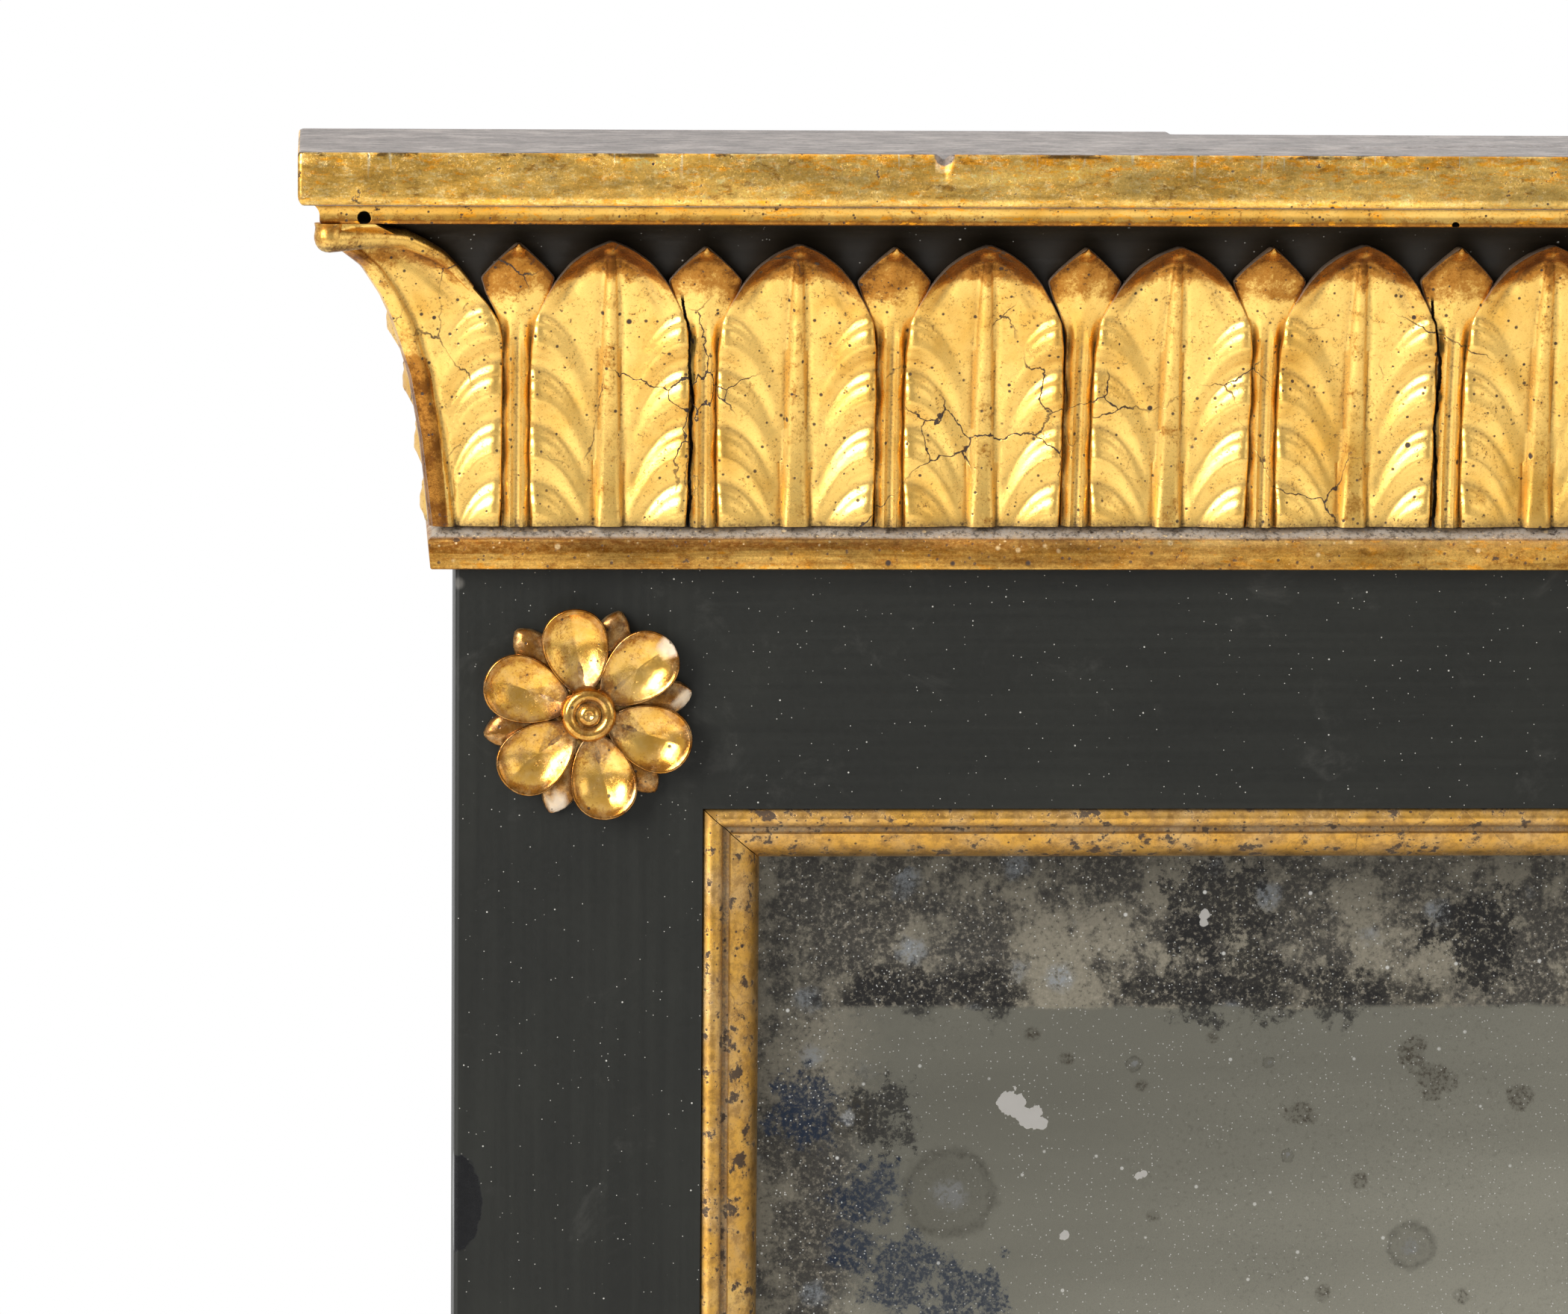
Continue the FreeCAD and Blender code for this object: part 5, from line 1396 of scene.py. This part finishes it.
def offset_plan(plan, inset):
    """A closed plan moved inwards by an inset. The plan runs against the clock."""
    before = plan - np.roll(plan, 1, axis=0)
    after = np.roll(plan, -1, axis=0) - plan
    normals = []
    for edge in (before, after):
        edge = edge / np.linalg.norm(edge, axis=1)[:, None]
        normals.append(np.column_stack([-edge[:, 1], edge[:, 0]]))
    total = normals[0] + normals[1]
    return plan + inset * total / (1 + np.sum(normals[0] * normals[1], axis=1))[:, None]


# Where the front edge of the top board is chipped
CHIP_X = -362.4


def board_plan(inset):
    """Plan of the top board with its rear notch, moved inwards, with close points along the long sides."""
    points = np.array([vertex.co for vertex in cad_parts["top_board"].data.vertices]) / MM
    half, notch = np.abs(points[:, 0]).max(), np.abs(points[:, 0]).min()
    rim, back = points[:, 1].min(), points[:, 1].max()
    floor = sorted(set(np.round(points[:, 1], 2)))[1]
    corners = np.array([(-half, rim), (half, rim), (half, back), (notch, back), (notch, floor),
                        (-notch, floor), (-notch, back), (-half, back)])
    radii = [max(radius - inset, 0.08) for radius in (1.0, 1.0, 1.6, 0.7)] + [0.7 + inset] * 2
    radii += [radii[3], radii[2]]
    plan, _ = rounded([(x, y, radius, 0) for (x, y), radius in zip(offset_plan(corners, inset), radii)], 4)
    close = np.concatenate([
        np.arange(-half + 4, half - 4, 4.0), np.arange(CHIP_X - 3.9, CHIP_X + 3.9, 0.45)])
    front = [(x, rim + inset + abs(waviness(x + 90, 0.14))) for x in np.sort(close)]
    rear = [(x, floor - inset) for x in np.linspace(notch - 6, 6 - notch, 60)]
    return np.vstack([plan[:5], front, plan[5:25], rear, plan[25:]])


# Edge of the top board from below: inset, share of the thickness
BOARD_EDGE = ((1.9, 0.0), (1.4, 0.0), (0.9, 0.015), (0.5, 0.05), (0.2, 0.1), (0.05, 0.15), (0.0, 0.2),
              (0.0, 0.62), (0.0, 0.91), (0.1, 0.955), (0.35, 0.985), (0.85, 1.0), (1.4, 1.0))


def top_board():
    rise = BOARD_HIGH - BOARD_LOW
    rings, chip, dust, recess = [], [], [], []
    for inset, share in BOARD_EDGE:
        plan = board_plan(inset)
        count = len(plan)
        ring = np.column_stack([plan, np.full(count, BOARD_LOW + share * rise)])
        away = np.where(plan[:, 1] < FRONT, bell(plan[:, 0] - CHIP_X, 1.1), 0) * ramp(share, 0.72, 0.93)
        ring[:, 1] += 1.0 * away
        ring[:, 2] -= 1.3 * away
        rings.append(ring)
        chip.append(ramp(away, 0.02, 0.1) * 0.95)
        dust.append(np.full(count, 0.3 if share > 0.96 else 0.0))
        # Grime and painted shade along the foot of the board's edge, against the crown bead
        recess.append(np.full(count, 0.3 if share < 0.04 else 0.0))
    marks = {"chip": np.ravel(chip), "dust": np.ravel(dust), "recess": np.ravel(recess)}
    mesh = skin("gilt_top_board", np.vstack(rings), ring_faces(len(rings), count), marks, 40)
    mesh.materials.append(finish_of(gilt_mouldings))
    mesh.materials.append(finish_of(dusty_board))
    for face in mesh.polygons:
        rear = face.center.y > FRONT * MM and abs(face.center.x) < SIDE * MM
        face.material_index = int(abs(face.normal.z) > 0.8 or face.normal.y > 0.5 or rear)
    return finished(new_object("gilt_top_board", mesh), ["top_board"])


# Marks of an outline's corners: grime, amber and dust. The second set is grime and painted shade, for
# quirks and for corners where a piece meets the frame, the board or the glass
CLEAN, GRIME_AND_SHADE, DUSTY, TONED = (0, 0, 0), (0.85, 0.2, 0.1), (0.05, 0, 0.9), (0, 0.3, 0)


class OVERMANTEL_OT_cornice(bpy.types.Operator):
    """Makes the top board, the crown beads, the coves and the base fillets"""
    bl_idname = "overmantel.cornice"
    bl_label = "Cornice"

    def execute(self, context):
        top_board()
        # Grime and painted shade where the bead and the fillet meet the frame and the board, and in the
        # corner at the foot of the cove
        seat = CROWN_OUT - 9.3
        bead = [(seat, CROWN_LOW, 0, GRIME_AND_SHADE), (CROWN_OUT - 1.3, CROWN_LOW, 0.7, (0.1, 0.75, 0))]
        bow = arc((CROWN_OUT - 1.25, CROWN_LOW + 1.2), (CROWN_OUT, BOARD_LOW), 0.45, 7)
        for index, (out, up) in enumerate(bow):
            bead.append((out, up, 0, (0.05, 0.45 - 0.08 * index, 0) if index < 6 else (0.6, 0.25, 0)))
        bead.append((seat, BOARD_LOW, 0, GRIME_AND_SHADE))
        ledge = COVE_LOW - LEDGE_RISE
        fillet = [(0, FILLET_LOW, 0, GRIME_AND_SHADE), (FILLET_FOOT_OUT, FILLET_LOW, 0.6, (0.1, 0.3, 0)),
                  (FILLET_OUT - 0.2, ledge - 2.4, 0, TONED), (FILLET_OUT, ledge, 0.7, (0.1, 0.2, 0.25)),
                  (FILLET_OUT - 0.9, ledge + 0.7, 0, DUSTY), (COVE_FOOT, COVE_LOW, 0, (0.3, 0, 0.85)),
                  (0, COVE_LOW, 0, GRIME_AND_SHADE)]
        for hand in ("front", "left", "right"):
            moulding(f"gilt_crown_bead_{hand}", bead, hand, [f"crown_bead_{hand}"])
            moulding(f"gilt_base_fillet_{hand}", fillet, hand, [f"base_fillet_{hand}"])
            clothe(f"cove_{hand}", cove_paint)
        clothe("cornice_nails", old_iron)
        return {"FINISHED"}


# Painted frame
# Rounding of the worn arrises of the frame and of the back boards, in millimetres
FRAME_ARRIS = 0.9
BOARD_ARRIS = 0.8


def softened(node, maker, wanted):
    """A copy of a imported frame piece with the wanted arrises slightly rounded."""
    name = f"painted_{node}"
    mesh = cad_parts[node].data.copy()
    mesh.name = name
    with editing(mesh) as shell:
        bmesh.ops.remove_doubles(shell, verts=shell.verts, dist=1e-6)
        bmesh.ops.dissolve_limit(shell, angle_limit=math.radians(0.5), verts=shell.verts, edges=shell.edges)
        edges = [edge for edge in shell.edges if edge.is_convex and edge.calc_face_angle(0) > 1
                 and all(wanted(vert.co / MM) for vert in edge.verts)]
        bmesh.ops.bevel(shell, geom=edges, offset=FRAME_ARRIS * MM, segments=3, profile=0.5, affect="EDGES",
                        clamp_overlap=True)
        bmesh.ops.triangulate(shell, faces=[face for face in shell.faces if len(face.verts) > 4])
    mesh.materials.clear()
    mesh.materials.append(finish_of(maker))
    shade(mesh, 35)
    return finished(new_object(name, mesh), [node])


class OVERMANTEL_OT_frame(bpy.types.Operator):
    """Paints the stiles and rails and softens their outer arrises"""
    bl_idname = "overmantel.frame"
    bl_label = "Painted frame"

    def execute(self, context):
        for hand in ("left", "right"):
            softened(f"stile_{hand}", stile_paint, lambda place: abs(place.x) > SIDE - 0.01)
        softened("bottom_rail", rail_paint, lambda place: place.z < 0.01)
        clothe("top_rail", rail_paint)
        clothe("joint_pegs", block_pine)
        return {"FINISHED"}


# Slip round the glass
# Width of its bead and start of its slope on the stiles, and how far its mitres gape, in millimetres
BEAD_WIDTH = 4.6
SLOPE_START = 6.1
MITRE_GAP = 0.14


def slip_outline(width):
    """Bead, quirk and slope, in distance from the frame and depth behind its face, with their marks."""
    scale = width / SLIP_STILE
    bead_width, slope_start = BEAD_WIDTH * scale, SLOPE_START * scale
    depth = GLASS_FRONT - FRONT
    places = [(0, depth, CLEAN), (0, 1.6, GRIME_AND_SHADE)]
    bow = arc((0, 0.95), (bead_width, 0.95), -1.35, 8)
    # Grime and painted shade: at the frame's edge, on both sides of the bead, in the quirk and at the glass
    tones = [0.8, 0.35, 0.1, 0, 0, 0, 0.1, 0.4, 0.9]
    places += [(q, d, (tone, 0.15, 0)) for (q, d), tone in zip(bow, tones)]
    places += [(bead_width + 0.1, 2.2, GRIME_AND_SHADE), (slope_start - 0.1, 2.2, GRIME_AND_SHADE),
               (slope_start, 1.6, (0.4, 0.1, 0))]
    slope = arc((slope_start + 0.3, 1.35), (width, depth - 2.6), -2.2, 9)
    places += [(q, d, (0.05 + 0.5 * (index == 9), 0.1, 0)) for index, (q, d) in enumerate(slope)]
    places += [(width, depth, GRIME_AND_SHADE)]
    return places


class OVERMANTEL_OT_slip(bpy.types.Operator):
    """Runs the gilt slip round the glass"""
    bl_idname = "overmantel.slip"
    bl_label = "Gilt slip"

    def execute(self, context):
        for hand in ("left", "right", "bottom", "top"):
            self.run(hand)
        return {"FINISHED"}

    def run(self, hand):
        upright = hand in ("left", "right")
        width, other = (SLIP_STILE, SLIP_RAIL) if upright else (SLIP_RAIL, SLIP_STILE)
        outline = slip_outline(width)
        rings = []
        for share in np.linspace(0, 1, 150):
            ring = []
            ease = min(1.0, 10 * share, 10 * (1 - share))
            for q, d, _ in outline:
                cut = q * other / width + MITRE_GAP
                dip = ease * abs(waviness((share + (0.3 if upright else 0.7)) * 700, 0.2)) if d < 12 else 0
                if upright:
                    sign = -1 if hand == "left" else 1
                    z = OPENING_LOW + cut + share * (OPENING_HIGH - OPENING_LOW - 2 * cut)
                    ring.append((sign * (OPENING - q), FRONT + d + dip, z))
                else:
                    z = OPENING_LOW + q if hand == "bottom" else OPENING_HIGH - q
                    ring.append((-OPENING + cut + share * 2 * (OPENING - cut), FRONT + d + dip, z))
            rings.append(ring)
        name = f"gilt_slip_{hand}"
        faces = ring_faces(len(rings), len(outline))
        marks = run_marks([mark for *_, mark in outline], len(rings))
        mesh = skin(name, np.array(rings).reshape(-1, 3), faces, marks, 45)
        mesh.materials.append(finish_of(gilt_slip))
        finished(new_object(name, mesh), [f"slip_{hand}"])


# Rosettes
def turned(profile, segments):
    """Points and faces of a closed shape turned about its height."""
    points = []
    for radius, height in profile:
        for step in range(segments):
            angle = math.tau * step / segments
            points.append((radius * math.cos(angle), radius * math.sin(angle), height))
    return np.array(points), ring_faces(len(profile), segments)


BOSS = [(0.05, 0), (14, 0), (14, 1.7), (13.4, 2.6), (9.0, 3.6), (6.9, 4.1), (6.3, 4.5), (6.15, 5.6),
        (5.95, 6.6), (5.4, 7.45), (4.5, 7.8), (3.7, 7.5), (3.1, 6.9), (2.85, 6.55), (2.6, 7.0),
        (2.1, 7.7), (1.4, 8.1), (0.9, 8.1), (0.5, 7.6), (0.05, 7.5)]
# Grime and painted shade of the boss, by point of its profile: darkest at its foot among the petals, in its
# groove and in its dimple
BOSS_GRIME_AND_SHADE = [1, 1, 1, 1, 1, 0.9, 0.4, 0.1, 0, 0, 0, 0.1, 0.6, 1, 0.6, 0.1, 0, 0, 0.5, 0.8]


def boss_mesh():
    segments = 48
    points, faces = turned(BOSS, segments)
    return skin("boss", points, faces, {"recess": np.repeat(BOSS_GRIME_AND_SHADE, segments) * 0.85, "amber": 0.55})


def petal_mesh():
    """A hollow spoon of a petal with a rolled rim, lying along +X from under the boss."""
    rise = setting("mirror_rosette").petal_rise / MM
    segments, layers = 44, []
    angles = np.linspace(0, math.tau, segments, endpoint=False)
    length, half, centre = 9.9, 7.3, 14.6
    form = [(0.02, 0.0, 0), (0.2, 0.03, 0), (0.4, 0.12, 0), (0.58, 0.3, 0), (0.74, 0.56, 0),
            (0.86, 0.83, 0), (0.94, 0.98, 0), (0.975, 1.0, 0), (1.0, 0.93, 0.05), (1.01, 0.75, 0.3),
            (0.99, 0.5, 0.7), (0.9, 0.12, 1), (0.6, -0.3, 1), (0.02, -0.5, 1)]
    rings = []
    for reach, lift, mark in form:
        wide = half * np.sin(angles) * (1 + 0.24 * np.cos(angles))
        x = centre + reach * length * np.cos(angles)
        tilt = 0.75 + 0.25 * (x - centre) / length
        height = 3.0 + lift * rise * tilt + 0.25 * reach * np.abs(np.cos(angles))
        hollow = 0.22 * bell(reach * wide, 0.7) * (mark == 0) * (reach < 0.9)
        rings.append(np.column_stack([x, reach * wide, height - hollow]))
        # Grime and painted shade: the full mark underneath the petal, and part of it on its inner end under
        # the boss
        layers += list(np.full(segments, mark) + 0.55 * (np.cos(angles) < -0.75) * (mark < 0.5))
    points = np.array(rings).reshape(-1, 3)
    rim = ramp(np.hypot((points[:, 0] - centre) / length, points[:, 1] / half), 0.7, 1.0)
    amber = 0.25 + 0.4 * bell(points[:, 0] - 6, 4.0) + 0.6 * rim
    marks = {"recess": np.clip(layers, 0, 1) * 0.85, "amber": amber}
    return skin("petal", points, ring_faces(len(form), segments), marks)


def sepal_mesh():
    """A pointed leaf that shows between two petals."""
    form = [(9, 3.0, 3.5), (13, 3.9, 3.8), (16, 4.2, 4.0), (18.5, 4.1, 4.0), (20.5, 3.7, 3.9),
            (22.3, 2.8, 3.6), (23.6, 1.6, 3.2), (24.4, 0.5, 2.7)]
    rings = []
    for x, half, top in form:
        side = [(half, 0.3), (half, top - 1.2), (half * 0.86, top - 0.5), (half * 0.4, top - 0.45)]
        rings.append([(x, -y, z) for y, z in side] + [(x, 0, top)] + [(x, y, z) for y, z in reversed(side)])
    # Grime and painted shade: darkest at the sepal's foot and low on its sides between the petals, a little
    # all over
    grime_and_shade = np.tile([1, 0.8, 0.2, 0.5, 0, 0.5, 0.2, 0.8, 1], len(rings)) * 0.8
    points = np.array(rings).reshape(-1, 3)
    faces = ring_faces(len(rings), len(rings[0]))
    return skin("sepal", points, faces, {"recess": np.clip(grime_and_shade + 0.2, 0, 1), "amber": 0.85}, 40)


# Places where the gilding of the top left rosette has broken away, with their sizes
ROSETTE_CHIPS = (((-420.8, -26.8, 736.2), 2.6), ((-416.3, -24.0, 724.3), 2.6),
                 ((-444.6, -24.0, 700.9), 2.6))


class OVERMANTEL_OT_rosettes(bpy.types.Operator):
    """Builds the four gilt rosettes from petals, sepals and a boss"""
    bl_idname = "overmantel.rosettes"
    bl_label = "Rosettes"

    def execute(self, context):
        rosette = setting("mirror_rosette")
        seed = setting("mirror_carving").seed
        gold = finish_of(gilt_rosette)
        for index, spot in enumerate(("top_left", "top_right", "bottom_left", "bottom_right")):
            node = f"rosette_{spot}"
            middle = (np.array(low(node)) + np.array(high(node))) / 2
            centre = Vector((middle[0], FRONT, middle[2])) * MM
            shared = {"Count": rosette.petals, "Centre": centre, "Material": gold}
            petals = run_tree(petal_ring_tree, petal_mesh(), "petals", dict(
                shared, **{"First angle": rosette.first_angle, "Size spread": 0.03, "Seed": seed + index}))
            between = rosette.first_angle + math.pi / rosette.petals
            sepals = run_tree(petal_ring_tree, sepal_mesh(), "sepals", dict(
                shared, **{"First angle": between, "Size spread": 0.05, "Seed": seed + 30 + index}))
            boss = run_tree(petal_ring_tree, boss_mesh(), "boss", dict(
                shared, **{"Count": 1, "First angle": 0.0, "Size spread": 0.0, "Seed": seed}))
            whole = merged(f"gilt_{node}", [petals, sepals, boss])
            self.chip(whole.data)
            shade(whole.data, CARVED)
            finished(whole, [node])
        clothe("rosette_pins", old_iron)
        return {"FINISHED"}

    def chip(self, mesh):
        """Marks the broken places and knocks them back a little."""
        points = np.empty(len(mesh.vertices) * 3, np.float32)
        mesh.vertices.foreach_get("co", points)
        points = points.reshape(-1, 3) / MM
        bare = np.zeros(len(points))
        for centre, size in ROSETTE_CHIPS:
            away = np.linalg.norm(points - np.array(centre), axis=1)
            bare = np.maximum(bare, ramp(-away, -size, -size * 0.8))
        points[:, 1] += 0.6 * bare * (points[:, 1] < FRONT - 2)
        mesh.vertices.foreach_set("co", np.ascontiguousarray(points * MM, np.float32).ravel())
        mesh.attributes["chip"].data.foreach_set("value", bare.astype(np.float32))


# Glass and back
class OVERMANTEL_OT_glass(bpy.types.Operator):
    """Gives the mirror plate its foxed silvering"""
    bl_idname = "overmantel.glass"
    bl_label = "Mirror plate"

    def execute(self, context):
        clothe("mirror_plate", foxed_glass)
        return {"FINISHED"}


# Nails and screws in millimetres: length, height of the head, and radius of a screw's head
NAIL_LENGTH = 18.0
NAIL_HEAD = 0.9
SCREW_LENGTH = 17.0
SCREW_HEAD = 1.3
SCREW_RADIUS = 3.6


def points_mesh(name, places):
    mesh = bpy.data.meshes.new(name)
    mesh.from_pydata([tuple(Vector(place) * MM) for place in places], [], [])
    return mesh


def nail_object(length):
    """A hand-made nail with a low faceted head, its underside at the origin and its point along -Y."""
    profile = [(0.05, -length), (0.5, -length + 2), (0.9, -length + 5), (0.9, 0.0), (2.8, 0.0),
               (2.75, 0.35), (2.0, 0.7), (0.8, 0.88), (0.05, NAIL_HEAD)]
    points, faces = turned(profile, 10)
    return new_object("nail_pattern", skin("nail_pattern", points[:, [0, 2, 1]], faces, None, 30))


def screw_object(length, head):
    """A screw with a round slotted head, its underside at the origin and its point along -Y."""
    profile = [(0.05, -length), (0.6, -length + 2.5), (1.5, -length + 6), (1.7, 0.0), (head, 0.0),
               (head - 0.05, 0.3), (head * 0.86, 0.75), (head * 0.6, 1.1), (head * 0.3, 1.26),
               (0.05, SCREW_HEAD)]
    points, faces = turned(profile, 32)
    screw = new_object("screw_pattern", skin("screw_pattern", points[:, [0, 2, 1]], faces, None, 30))
    slot = bpy.data.meshes.new("slot")
    size = Matrix.Diagonal((9 * MM, 1.6 * MM, 0.9 * MM, 1))
    with editing(slot) as cutter:
        bmesh.ops.create_cube(cutter, size=1, matrix=Matrix.Translation((0, 1.4 * MM, 0)) @ size)
    tool = new_object("slot", slot)
    cut = screw.modifiers.new("slot", "BOOLEAN")
    cut.object = tool
    cut.solver = "EXACT"
    made = evaluated(screw, "screw_pattern_cut")
    bpy.data.objects.remove(tool)
    return made


def fasteners(name, places, pattern, node, tilt, seed):
    """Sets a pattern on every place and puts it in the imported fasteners' stead."""
    made = run_tree(fastener_tree, points_mesh(name, places), name, {
        "Fastener": pattern, "Tilt": tilt, "Seed": seed, "Material": finish_of(old_iron)})
    shade(made.data, 40)
    bpy.data.objects.remove(pattern)
    return finished(made, [node])


def spots_of(node):
    """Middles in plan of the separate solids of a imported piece, and how far back each one reaches."""
    shell = bmesh.new()
    shell.from_mesh(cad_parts[node].data)
    bmesh.ops.remove_doubles(shell, verts=shell.verts, dist=1e-6)
    left = set(shell.verts)
    spots = []
    while left:
        heap = [left.pop()]
        points = []
        while heap:
            vert = heap.pop()
            points.append(vert.co / MM)
            for edge in vert.link_edges:
                other = edge.other_vert(vert)
                if other in left:
                    left.remove(other)
                    heap.append(other)
        points = np.array(points)
        middle = (points.min(0) + points.max(0)) / 2
        spots.append((middle[0], points[:, 1].max(), middle[2]))
    shell.free()
    return sorted(spots)


class OVERMANTEL_OT_back(bpy.types.Operator):
    """Finishes the boards, the blocks and the nails of the back"""
    bl_idname = "overmantel.back"
    bl_label = "Back"

    def execute(self, context):
        for count in (1, 2, 3):
            self.board(count)
        clothe("plate_blocks", block_pine)
        places = [(x, y - NAIL_HEAD, z) for x, y, z in spots_of("back_nails")]
        fasteners("iron_back_nails", places, nail_object(NAIL_LENGTH), "back_nails", 0.05, 3)
        return {"FINISHED"}

    def board(self, count):
        """A board with worn arrises."""
        node = f"back_board_{count}"
        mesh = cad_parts[node].data.copy()
        with editing(mesh) as shell:
            bmesh.ops.remove_doubles(shell, verts=shell.verts, dist=1e-6)
            bmesh.ops.dissolve_limit(shell, angle_limit=0.01, verts=shell.verts, edges=shell.edges)
            bmesh.ops.bevel(shell, geom=shell.edges[:], offset=BOARD_ARRIS * MM, segments=2, profile=0.6,
                            affect="EDGES")
        mesh.materials.clear()
        mesh.materials.append(finish_of(board_pine))
        shade(mesh, 40)
        finished(new_object(f"pine_{node}", mesh), [node])


class OVERMANTEL_OT_hangers(bpy.types.Operator):
    """Finishes the hanger plates and rings and sets their screws"""
    bl_idname = "overmantel.hangers"
    bl_label = "Hangers"

    def execute(self, context):
        for hand in ("left", "right"):
            clothe(f"hanger_plate_{hand}", old_iron)
            clothe(f"hanger_ring_{hand}", old_iron)
        places = [(x, y - SCREW_HEAD, z) for x, y, z in spots_of("hanger_screws")]
        screw = screw_object(SCREW_LENGTH, SCREW_RADIUS)
        fasteners("iron_hanger_screws", places, screw, "hanger_screws", 0.0, 8)
        return {"FINISHED"}


# Stage
def camera_axes(turn, dip, roll):
    """Right, up and back axes of the camera."""
    ahead = Vector((math.sin(turn) * math.cos(dip), math.cos(turn) * math.cos(dip), -math.sin(dip)))
    right = Vector((math.cos(turn), -math.sin(turn), 0))
    down = ahead.cross(right)
    tilted = math.cos(roll) * right + math.sin(roll) * down
    lowered = -math.sin(roll) * right + math.cos(roll) * down
    return tilted, -lowered, -ahead


def soft_light(name, place, aim, size, power, colour=(1, 1, 1)):
    lamp = bpy.data.lights.new(name, "AREA")
    lamp.shape = "RECTANGLE"
    lamp.size, lamp.size_y = size
    lamp.energy = power
    lamp.color = colour
    thing = new_object(name, lamp)
    thing.location = place
    thing.rotation_euler = (Vector(aim) - Vector(place)).to_track_quat("-Z", "Y").to_euler()
    return thing


def studio_world():
    """White to the eye, and to light and reflections a room that is dimmer in front of the mirror."""
    world = bpy.data.worlds.new("studio")
    bpy.context.scene.world = world
    world.use_nodes = True
    world.node_tree.nodes.clear()
    net = Net(world.node_tree)
    way = net.add("ShaderNodeSeparateXYZ", net.add("ShaderNodeTexCoord").outputs["Generated"]).outputs
    side = net.step(way[1], -0.75, 0.5, 0.46, 1.0)
    room = net.plus(side, net.step(way[2], 0.1, 0.9, 0.0, 0.25))
    lit = net.add("ShaderNodeBackground", (1, 1, 1, 1), room).outputs[0]
    seen = net.add("ShaderNodeBackground", (1, 1, 1, 1), 1.0).outputs[0]
    eye = net.add("ShaderNodeLightPath").outputs["Is Camera Ray"]
    both = net.add("ShaderNodeMixShader", eye, lit, seen).outputs[0]
    net.tree.links.new(both, net.add("ShaderNodeOutputWorld").inputs["Surface"])


def pale_floor():
    material, net, shader, place = new_material("pale floor")
    cloud = net.noise(place, 0.004, 3.0)
    look = {"Color": net.mix(cloud, (0.78, 0.775, 0.765, 1), (0.83, 0.825, 0.815, 1)),
            "Roughness": net.step(cloud, 0.2, 0.8, 0.55, 0.7)}
    dress(net, shader, look, 0.0, 0.0)
    return material


class OVERMANTEL_OT_stage(bpy.types.Operator):
    """Sets up the floor, the lights and the camera"""
    bl_idname = "overmantel.stage"
    bl_label = "Stage"

    def execute(self, context):
        stage = setting("mirror_stage")
        context.scene.view_settings.view_transform = "Standard"
        lens = bpy.data.cameras.new("camera")
        lens.lens = stage.lens
        lens.sensor_width = SENSOR_WIDTH
        lens.sensor_fit = "HORIZONTAL"
        camera = new_object("camera", lens)
        axes = camera_axes(*stage.turn)
        turn = Matrix((axes[0], axes[1], axes[2])).transposed().to_4x4()
        camera.matrix_world = Matrix.Translation(stage.place) @ turn
        context.scene.camera = camera
        mesh = bpy.data.meshes.new("floor")
        with editing(mesh) as shell:
            bmesh.ops.create_circle(shell, cap_ends=True, segments=96, radius=FLOOR_RADIUS)
        mesh.materials.append(pale_floor())
        new_object("floor", mesh)
        soft_light("key", (-2.1, -1.75, 1.75), (-0.25, 0, 0.75), (1.1, 1.9), stage.key_power)
        soft_light("fill", (2.2, -1.9, 1.2), (0.0, 0, 0.5), (1.6, 1.6), stage.fill_power)
        soft_light("rear", (0.6, 2.2, 1.9), (0, 0, 0.5), (1.6, 1.2), stage.fill_power * 1.6)
        studio_world()
        return {"FINISHED"}


# Sidebar and registration
OPERATORS = (
    OVERMANTEL_OT_frame, OVERMANTEL_OT_cornice, OVERMANTEL_OT_leaves, OVERMANTEL_OT_rosettes,
    OVERMANTEL_OT_slip, OVERMANTEL_OT_glass, OVERMANTEL_OT_back, OVERMANTEL_OT_hangers,
    OVERMANTEL_OT_stage,
)


class OVERMANTEL_PT_sidebar(bpy.types.Panel):
    """Lists the pieces of the mirror and their settings"""
    bl_idname = "OVERMANTEL_PT_sidebar"
    bl_label = "Overmantel mirror"
    bl_space_type = "VIEW_3D"
    bl_region_type = "UI"
    bl_category = "Mirror"

    def draw(self, context):
        for kind in OPERATORS:
            self.layout.operator(kind.bl_idname)
        for group, kind in SETTING_GROUPS.items():
            box = self.layout.box()
            for name in kind.__annotations__:
                box.prop(setting(group), name)


def register():
    for kind in (*SETTING_GROUPS.values(), *OPERATORS, OVERMANTEL_PT_sidebar):
        bpy.utils.register_class(kind)
    for group, kind in SETTING_GROUPS.items():
        setattr(bpy.types.Scene, group, PointerProperty(type=kind))


def unregister():
    for group in SETTING_GROUPS:
        delattr(bpy.types.Scene, group)
    for kind in (OVERMANTEL_PT_sidebar, *reversed(OPERATORS), *SETTING_GROUPS.values()):
        bpy.utils.unregister_class(kind)


def main():
    register()
    bpy.ops.overmantel.frame()
    bpy.ops.overmantel.cornice()
    bpy.ops.overmantel.leaves()
    bpy.ops.overmantel.rosettes()
    bpy.ops.overmantel.slip()
    bpy.ops.overmantel.glass()
    bpy.ops.overmantel.back()
    bpy.ops.overmantel.hangers()
    bpy.ops.overmantel.stage()


if __name__ == "__main__":
    main()
